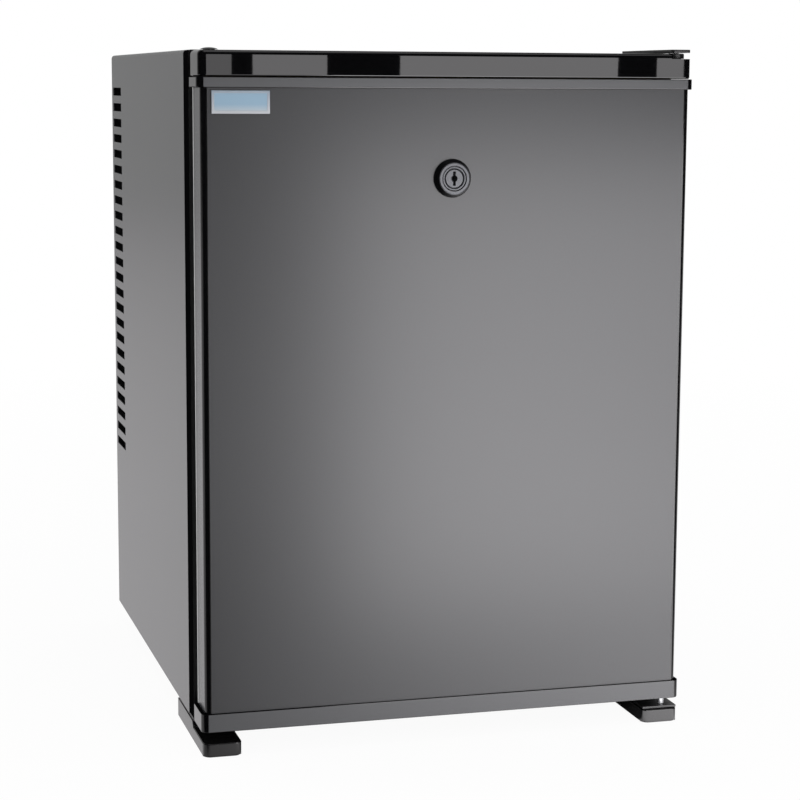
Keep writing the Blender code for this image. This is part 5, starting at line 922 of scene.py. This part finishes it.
# Grinding rings the pins with fine lines that blur their lights; the plating is brighter. Both
# grains are drawn coarser than they are, to show.
pin_steel = grain(surface("Ground steel pin", "#D9DBDD", 0.38, 0.5), size=0.5, height=0.002,
                  roughness=(0.34, 0.42), stretch=(1, 1, 4))
bright_zinc = grain(surface("Bright zinc plating", "#B9BCC0", 0.22, 1.0), size=0.8,
                    height=0.004, roughness=(0.16, 0.30))
PIN_LEAD = 0.0008
PIN_FOOT_EDGE = 0.0006
for name, radius in (("hinge_pin_top", 0.003), ("hinge_pin_bottom", 0.0025)):
    low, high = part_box(name)
    pin = turned(name + "_turned", upright_axis(name), "Z",
                 [(0, high.z), (radius - PIN_LEAD, high.z), (radius, high.z - PIN_LEAD),
                  (radius, low.z + PIN_FOOT_EDGE), (radius - PIN_FOOT_EDGE, low.z),
                  (0, low.z)], 40)
    fit(pin, "cabinet", pin_steel, name)
SHANK_RADIUS = 0.0017
HEAD_RADIUS = 0.0036
HEAD_DEPTH = 0.0020
RECESS_HALF_WIDTH = 0.0004
RECESS_DEPTH = 0.0012
for name in ("hinge_screw_1", "hinge_screw_2"):
    low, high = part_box(name)
    at = upright_axis(name)
    screw = turned(name + "_head", at, "Z",
                   [(0, high.z), (HEAD_RADIUS - 0.0002, high.z), (HEAD_RADIUS, high.z - 0.0001),
                    (SHANK_RADIUS, high.z - HEAD_DEPTH), (SHANK_RADIUS, low.z), (0, low.z)], 40)
    for way_x, way_y in ((SHANK_RADIUS, RECESS_HALF_WIDTH), (RECESS_HALF_WIDTH, SHANK_RADIUS)):
        carve(screw, block("recess", (at[0] - way_x, at[1] - way_y, high.z - RECESS_DEPTH),
                           (at[0] + way_x, at[1] + way_y, high.z + NEAR)))
    fit(screw, "cabinet", bright_zinc, name)


# Door panel. Steel sheet laminated with a charcoal film, folded back at both upright edges, where
# the bend is painted black as the dark reflection its rounded edge shows.

# The film is a shade darker than the cabinet's coat and spreads each light into a wide glow.
# The black on the bends is painted dark reflection, smooth, so the bend shows as a black line with
# a thin highlight.
filmed_steel = grain(surface("Charcoal film on steel", "#1F2022", 0.35), size=1.8, height=0.006,
                     roughness=(0.33, 0.38), colours=("#212224", "#232426"))
bend_painted_dark = grain(surface("Black on the bends, painted dark reflection", "#070708", 0.16), size=3.0, height=0.006,
                      roughness=(0.13, 0.20))
PANEL_BEND = 0.005
LOCK_Z = 0.452
LOCK_HOLE_RADIUS = 0.0098


def lock_hole(front):
    """A cutter for the lock's hole, through the sheet whose front lies at this Y."""
    return tube("hole", [(0, front - 2 * PAST, LOCK_Z), (0, front + 2 * PAST, LOCK_Z)],
                LOCK_HOLE_RADIUS, 48)


low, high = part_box("door_panel")
panel = block("door_sheet", low, high)
drop_faces(panel, lambda face: face.normal.y > 0.9 or abs(face.normal.z) > 0.9)
round_over(panel, PANEL_BEND, 12)
give_wall(panel, SHEET)
bend_end = low.y + PANEL_BEND + 0.0005


def off_lock(face):
    """True for a face away from the lock's hole, whose edge has the film's material."""
    return math.hypot(face.center.x, face.center.z - LOCK_Z) > LOCK_HOLE_RADIUS + NEAR


carve(panel, lock_hole(low.y))
fit(panel, "door", filmed_steel, "door_panel",
    [(bend_painted_dark, lambda face: off_lock(face) and face.center.y < bend_end
      and abs(face.normal.y) < 0.999),
     (coated_steel, lambda face: off_lock(face) and abs(face.normal.x) > 0.9)])


# Door top cap. Injection-moulded ABS from a polished tool, so it mirrors the lamps with only a
# slow waviness; a shallow pocket at the right leaves room for the hinge.
gloss_black = grain(surface("Polished black ABS", "#060607", 0.014), size=18.0, height=0.0006,
                    roughness=(0.012, 0.018))
DOOR_CORNER = 0.006
CAP_TOP_ROUNDING = 0.0036
CAP_FOOT_ROUNDING = 0.0013
POCKET_WIDTH = 0.0175
POCKET_DEPTH = 0.004


def front_upright(edge):
    """True for an upright edge at the front of the box between low and high."""
    return runs(edge, "Z") and centre(edge).y < low.y + NEAR


low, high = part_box("door_top_cap")
cap = block("top_cap", low, high)
round_over(cap, DOOR_CORNER, 10, front_upright)
round_over(cap, CAP_TOP_ROUNDING, 10,
           lambda edge: not runs(edge, "Z") and centre(edge).z > high.z - NEAR)
round_over(cap, CAP_FOOT_ROUNDING, 5,
           lambda edge: not runs(edge, "Z") and centre(edge).z < low.z + NEAR)
carve(cap, block("pocket", (high.x - POCKET_WIDTH, low.y - PAST, high.z - POCKET_DEPTH),
                 (high.x + PAST, high.y + PAST, high.z + PAST)))
fit(cap, "door", gloss_black, "door_top_cap")
BUSH_RADIUS = 0.0065
BUSH_NECK = 0.0045
BUSH_BORE = 0.0033
BUSH_FLANGE = 0.004
low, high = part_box("hinge_bush")
HINGE = upright_axis("hinge_bush")
bush = turned("bush", HINGE, "Z",
              [(BUSH_RADIUS - 0.0006, high.z), (BUSH_RADIUS, high.z - 0.0006),
               (BUSH_RADIUS, high.z - BUSH_FLANGE), (BUSH_NECK, high.z - BUSH_FLANGE),
               (BUSH_NECK, low.z), (BUSH_BORE, low.z), (BUSH_BORE, high.z)], 48, True)
fit(bush, "door", satin_black, "hinge_bush")
# The blind plug closes the unused hinge hole at the left with a low dome: radius and drop.
PLUG_DOME = ((0, 0.0002), (0.0022, 0.0003), (0.0042, 0.0006), (0.0058, 0.0011),
             (0.0068, 0.0016), (0.0070, 0.0018), (BUSH_NECK, 0.0018))
low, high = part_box("hinge_hole_plug")
button = turned("blind_plug", upright_axis("hinge_hole_plug"), "Z",
                [(radius, high.z - drop) for radius, drop in PLUG_DOME]
                + [(BUSH_NECK, low.z), (0, low.z)])
fit(button, "door", gloss_black, "hinge_hole_plug")


# Door skirts. Satin mouldings that lap the panel: a narrow strip below the top cap, and the
# tray at the foot, whose right end holds the lower bearing.
# Their faces glow softly in the lamps; their rounded edges are painted black as dark reflection,
# and their tops and bottoms are painted black as shade.
satin_strip = grain(surface("Satin ABS strip", "#3E3F41", 0.34), size=1.2, height=0.008,
                    roughness=(0.30, 0.38))
strip_edge_painted_reflection = grain(surface("Polished strip edge, painted dark reflection", "#060607", 0.10), size=6.0,
                   height=0.002, roughness=(0.09, 0.12))
FOOT_TRAY_Z = 0.020
TRAY_FLOOR = 0.0025
TRAY_REAR_WALL = 0.002
SKIRT_FRONT_WALL = 0.0012
SKIRT_ROOM_HALF = 0.1983
SKIRT_EDGE = 0.0006
BEARING_RADIUS = 0.0070
BEARING_BORE = 0.0029
BEARING_TOP = 0.0325
for node, name in (("door_top_skirt", "top_strip"), ("door_bottom_cap", "foot_tray")):
    low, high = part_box(node)
    is_tray = node == "door_bottom_cap"
    bottom = FOOT_TRAY_Z if is_tray else low.z
    strip = block(name, (low.x, low.y, bottom), high)
    round_over(strip, DOOR_CORNER, 10, front_upright)
    round_over(strip, SKIRT_EDGE, 3, lambda edge: not runs(edge, "Z"))
    room_floor = bottom + TRAY_FLOOR if is_tray else bottom - PAST
    room_back = high.y - TRAY_REAR_WALL if is_tray else high.y + PAST
    carve(strip, block("room", (-SKIRT_ROOM_HALF, low.y + SKIRT_FRONT_WALL, room_floor),
                       (SKIRT_ROOM_HALF, room_back, high.z + PAST)))
    if is_tray:
        join(strip, turned("bearing", HINGE, "Z",
                           [(BEARING_RADIUS - 0.0004, BEARING_TOP),
                            (BEARING_RADIUS, BEARING_TOP - 0.0005),
                            (BEARING_RADIUS, low.z + 0.0004), (BEARING_RADIUS - 0.0004, low.z),
                            (BEARING_BORE, low.z), (BEARING_BORE, BEARING_TOP)], 40, True))
    fit(strip, "door", satin_strip, node,
        [(strip_edge_painted_reflection, lambda face: abs(face.normal.z) <= 0.3 and face.normal.y > -0.995),
         (painted_shade_black, lambda face: abs(face.normal.z) > 0.3)])


# Inner door. Vacuum-formed polystyrene with a raised dyke that stands inside the compartment,
# and two bins that clip between its sides.
DYKE_HALF = 0.152
DYKE_FOOT = 0.066
DYKE_TOP = 0.506
DYKE_WIDTH = 0.014
NOTCH_HALF = 0.0248
RACK_WALL = 0.002
RACK_CORNER = 0.006
SIGHT_MARGIN = 0.020
SIGHT_LOW = 0.026
SIGHT_HIGH = 0.048
low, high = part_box("door_liner")
inner_door = block("inner_door", low, (high.x, low.y + LINER_WALL, high.z))
dyke = block("dyke", (-DYKE_HALF, low.y + 0.0015, DYKE_FOOT), (DYKE_HALF, high.y, DYKE_TOP))
round_over(dyke, 0.008, 6, lambda edge: runs(edge, "Y"))
well = block("well", (-DYKE_HALF + DYKE_WIDTH, low.y - PAST, DYKE_FOOT + DYKE_WIDTH),
             (DYKE_HALF - DYKE_WIDTH, high.y + PAST, DYKE_TOP - DYKE_WIDTH))
round_over(well, 0.003, 4, lambda edge: runs(edge, "Y"))
carve(dyke, well)
round_over(dyke, 0.004, 5, lambda edge: centre(edge).y > high.y - 0.0001)
carve(dyke, block("notch", (-NOTCH_HALF, low.y + 0.0019, 0.48), (NOTCH_HALF, high.y + PAST, 0.52)))
join(inner_door, dyke)
carve(inner_door, lock_hole(low.y))
fit(inner_door, "door", white_plastic, "door_liner")
for name in ("door_rack_lower", "door_rack_upper"):
    low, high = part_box(name)
    rack = block(name + "_bin", low, high)
    drop_faces(rack, lambda face: face.normal.z > 0.9)
    round_over(rack, RACK_CORNER, 6)
    give_wall(rack, RACK_WALL)
    sight = block("sight", (low.x + SIGHT_MARGIN, high.y - PAST, low.z + SIGHT_LOW),
                  (high.x - SIGHT_MARGIN, high.y + PAST, low.z + SIGHT_HIGH))
    round_over(sight, RACK_CORNER, 6, lambda edge: runs(edge, "Y"))
    carve(rack, sight)
    fit(rack, "door", white_plastic, name)


# Gasket. Extruded soft PVC with a magnet strip in its head, pressed into the inner door; its
# bellows let it reach the frame all round.
SEAL_WIDTH = 0.014
SEAL_THICKNESS = 0.0024
HEAD_THICKNESS = 0.0040
FOLD_INSET = 0.0035
FOLD_WIDTH = 0.007
FOLD_LAP = 0.0004
low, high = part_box("door_gasket")


def seal_ring(name, front, back, inset, width):
    """A rectangular ring of the gasket between two Y places, set in from its outline."""
    ring = block(name, (low.x + inset, front, low.z + inset),
                 (high.x - inset, back, high.z - inset))
    inner_edge = inset + width
    return carve(ring, block("inside", (low.x + inner_edge, front - PAST, low.z + inner_edge),
                             (high.x - inner_edge, back + PAST, high.z - inner_edge)))


seal = seal_ring("magnetic_seal", low.y, low.y + SEAL_THICKNESS, 0, SEAL_WIDTH)
folds = seal_ring("folds", low.y + SEAL_THICKNESS - FOLD_LAP,
                  high.y - HEAD_THICKNESS + FOLD_LAP, FOLD_INSET, FOLD_WIDTH)
head = seal_ring("head", high.y - HEAD_THICKNESS, high.y, 0, SEAL_WIDTH)
for part in (seal, head):
    round_over(part, 0.0011, 3, lambda edge: not runs(edge, "Y"))
join(seal, folds, head)
fit(seal, "door", soft_pvc, "door_gasket")


# Badge. A thin stamped aluminium plate with a raised bright frame and a blue-grey lacquered
# field, left blank.
def painted_light_fade(name, lower, upper, start, end, roughness, metallic):
    """A metal whose colour fades from one height to another, as painted light."""
    made = surface(name, lower, roughness, metallic)
    paint = made.node_tree
    level = add(paint, "SeparateXYZ", {0: add(paint, "TexCoord").outputs["Object"]}).outputs["Z"]
    share = add(paint, "MapRange", {"Value": level, "From Min": start, "From Max": end})
    painted_light_ramp = add(paint, "Mix", {0: share.outputs[0], 6: tint(lower), 7: tint(upper)},
               data_type="RGBA")
    paint.links.new(painted_light_ramp.outputs[2], paint.nodes["Principled BSDF"].inputs["Base Color"])
    return made


# Rolled aluminium gives soft, pale lights, and a thin lacquer over it keeps some metal gloss.
# Frame and field are painted lighter at the bottom and darker above, a painted highlight along the
# lower edge.
low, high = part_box("badge_plate")
frame_painted_lighter_below = painted_light_fade("Satin-rolled aluminium, painted light", "#A4A6AA", "#7D8893", low.z, high.z,
                            roughness=0.34, metallic=0.3)
field_painted_lighter_below = painted_light_fade("Blue-grey lacquer, painted light", "#97A1A8", "#7993A5",
                          low.z + 0.002, low.z + 0.007, roughness=0.34, metallic=0.2)
BADGE_FRAME = 0.0022
BADGE_FIELD_DEPTH = 0.0003
badge = block("badge", low, high)
round_over(badge, 0.0004, 4, lambda edge: centre(edge).y < low.y + 0.0001)
carve(badge, block("field", (low.x + BADGE_FRAME, low.y - NEAR, low.z + BADGE_FRAME),
                   (high.x - BADGE_FRAME, low.y + BADGE_FIELD_DEPTH, high.z - BADGE_FRAME)))
round_over(badge, 0.00025, 3, lambda edge: edge.calc_face_angle() > math.radians(60)
           and abs(centre(edge).y - low.y) < 0.0001)
fit(badge, "door", frame_painted_lighter_below, "badge_plate",
    [(field_painted_lighter_below, lambda face: face.normal.y < -0.99
      and low.y + 0.0002 < face.center.y < high.y - 0.0005)])


# Lock. A zinc die-cast collar and barrel, plated dark, with a turning cylinder whose keyhole
# is a slot with a round eye; the nut clamps it from inside, and a cover guides its bolt.

# The plating on the faces is grey and silky, and the collar's slope is painted nearly black and
# shiny as its dark reflection.
# Both grains are drawn coarser than they are, to show.
dark_plating = grain(surface("Dark nickel plating on zinc", "#434447", 0.36, 0.55), size=0.7,
                     height=0.003, roughness=(0.32, 0.40))
collar_painted_reflection = grain(surface("Dark plating with a painted reflection", "#18181A", 0.24, 0.7), size=0.7,
                     height=0.002, roughness=(0.21, 0.27))
COLLAR_RADIUS = 0.0150
COLLAR_FACE_RADIUS = 0.0125
BARREL_RADIUS = 0.0095
BARREL_BORE = 0.0078
CORE_RADIUS = 0.0075
EYE_RADIUS = 0.0026
SLIT_HALF_WIDTH = 0.0011
SLIT_HALF_LENGTH = 0.0055
KEYHOLE_DEPTH = 0.012
LOCK_AXIS = (0, 0, LOCK_Z)
low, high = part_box("lock_bezel")
slope_start = low.y + 0.0006
collar = turned("lock_collar", LOCK_AXIS, "Y",
                [(LOCK_HOLE_RADIUS, low.y + 0.0002), (LOCK_HOLE_RADIUS + 0.0002, low.y),
                 (COLLAR_FACE_RADIUS - 0.0007, low.y), (COLLAR_FACE_RADIUS, low.y + 0.0005),
                 (COLLAR_RADIUS - 0.0006, high.y - 0.0016), (COLLAR_RADIUS, high.y - 0.0010),
                 (COLLAR_RADIUS, high.y), (LOCK_HOLE_RADIUS, high.y)], 72, True)
fit(collar, "door", dark_plating, "lock_bezel",
    [(collar_painted_reflection, lambda face: face.center.y > slope_start)])
low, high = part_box("lock_barrel")
barrel = turned("lock_body", LOCK_AXIS, "Y",
                [(BARREL_BORE, low.y + 0.0004), (BARREL_BORE + 0.0004, low.y),
                 (BARREL_RADIUS - 0.0004, low.y), (BARREL_RADIUS, low.y + 0.0004),
                 (BARREL_RADIUS, high.y), (BARREL_BORE, high.y)], 64, True)
fit(barrel, "door", dark_plating, "lock_barrel")
low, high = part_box("lock_cylinder")
core = turned("lock_core", LOCK_AXIS, "Y",
              [(0, low.y), (CORE_RADIUS - 0.0007, low.y), (CORE_RADIUS, low.y + 0.0005),
               (CORE_RADIUS, high.y), (0, high.y)], 64)
keyhole = (low.y - PAST, low.y + KEYHOLE_DEPTH)
carve(core, tube("eye", [(0, keyhole[0], LOCK_Z), (0, keyhole[1], LOCK_Z)], EYE_RADIUS, 24),
      block("slit", (-SLIT_HALF_WIDTH, keyhole[0], LOCK_Z - SLIT_HALF_LENGTH),
            (SLIT_HALF_WIDTH, keyhole[1], LOCK_Z + SLIT_HALF_LENGTH)))
fit(core, "lock", dark_plating, "lock_cylinder")
for name, body, radius in (("lock_nut", "door", 0.0006), ("lock_crank", "lock", 0.0003),
                           ("lock_bolt", "bolt", 0.0003)):
    fit(softened(name, name + "_zinc", radius, 2), body, bright_zinc, name)
GUIDE_WALL = 0.002
GUIDE_CORNER = 0.004
BOLT_SLOT_HALF = 0.0063
BOLT_SLOT_CLEARANCE = 0.0003
low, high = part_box("bolt_guide")
shroud = block("bolt_cover", low, high)
drop_faces(shroud, lambda face: face.normal.y < -0.9)
round_over(shroud, GUIDE_CORNER, 6)
give_wall(shroud, GUIDE_WALL)
carve(shroud, block("slot", (-BOLT_SLOT_HALF, bolt_low.y - BOLT_SLOT_CLEARANCE, high.z - PAST),
                    (BOLT_SLOT_HALF, bolt_high.y + BOLT_SLOT_CLEARANCE, high.z + PAST)))
fit(shroud, "door", white_plastic, "bolt_guide")
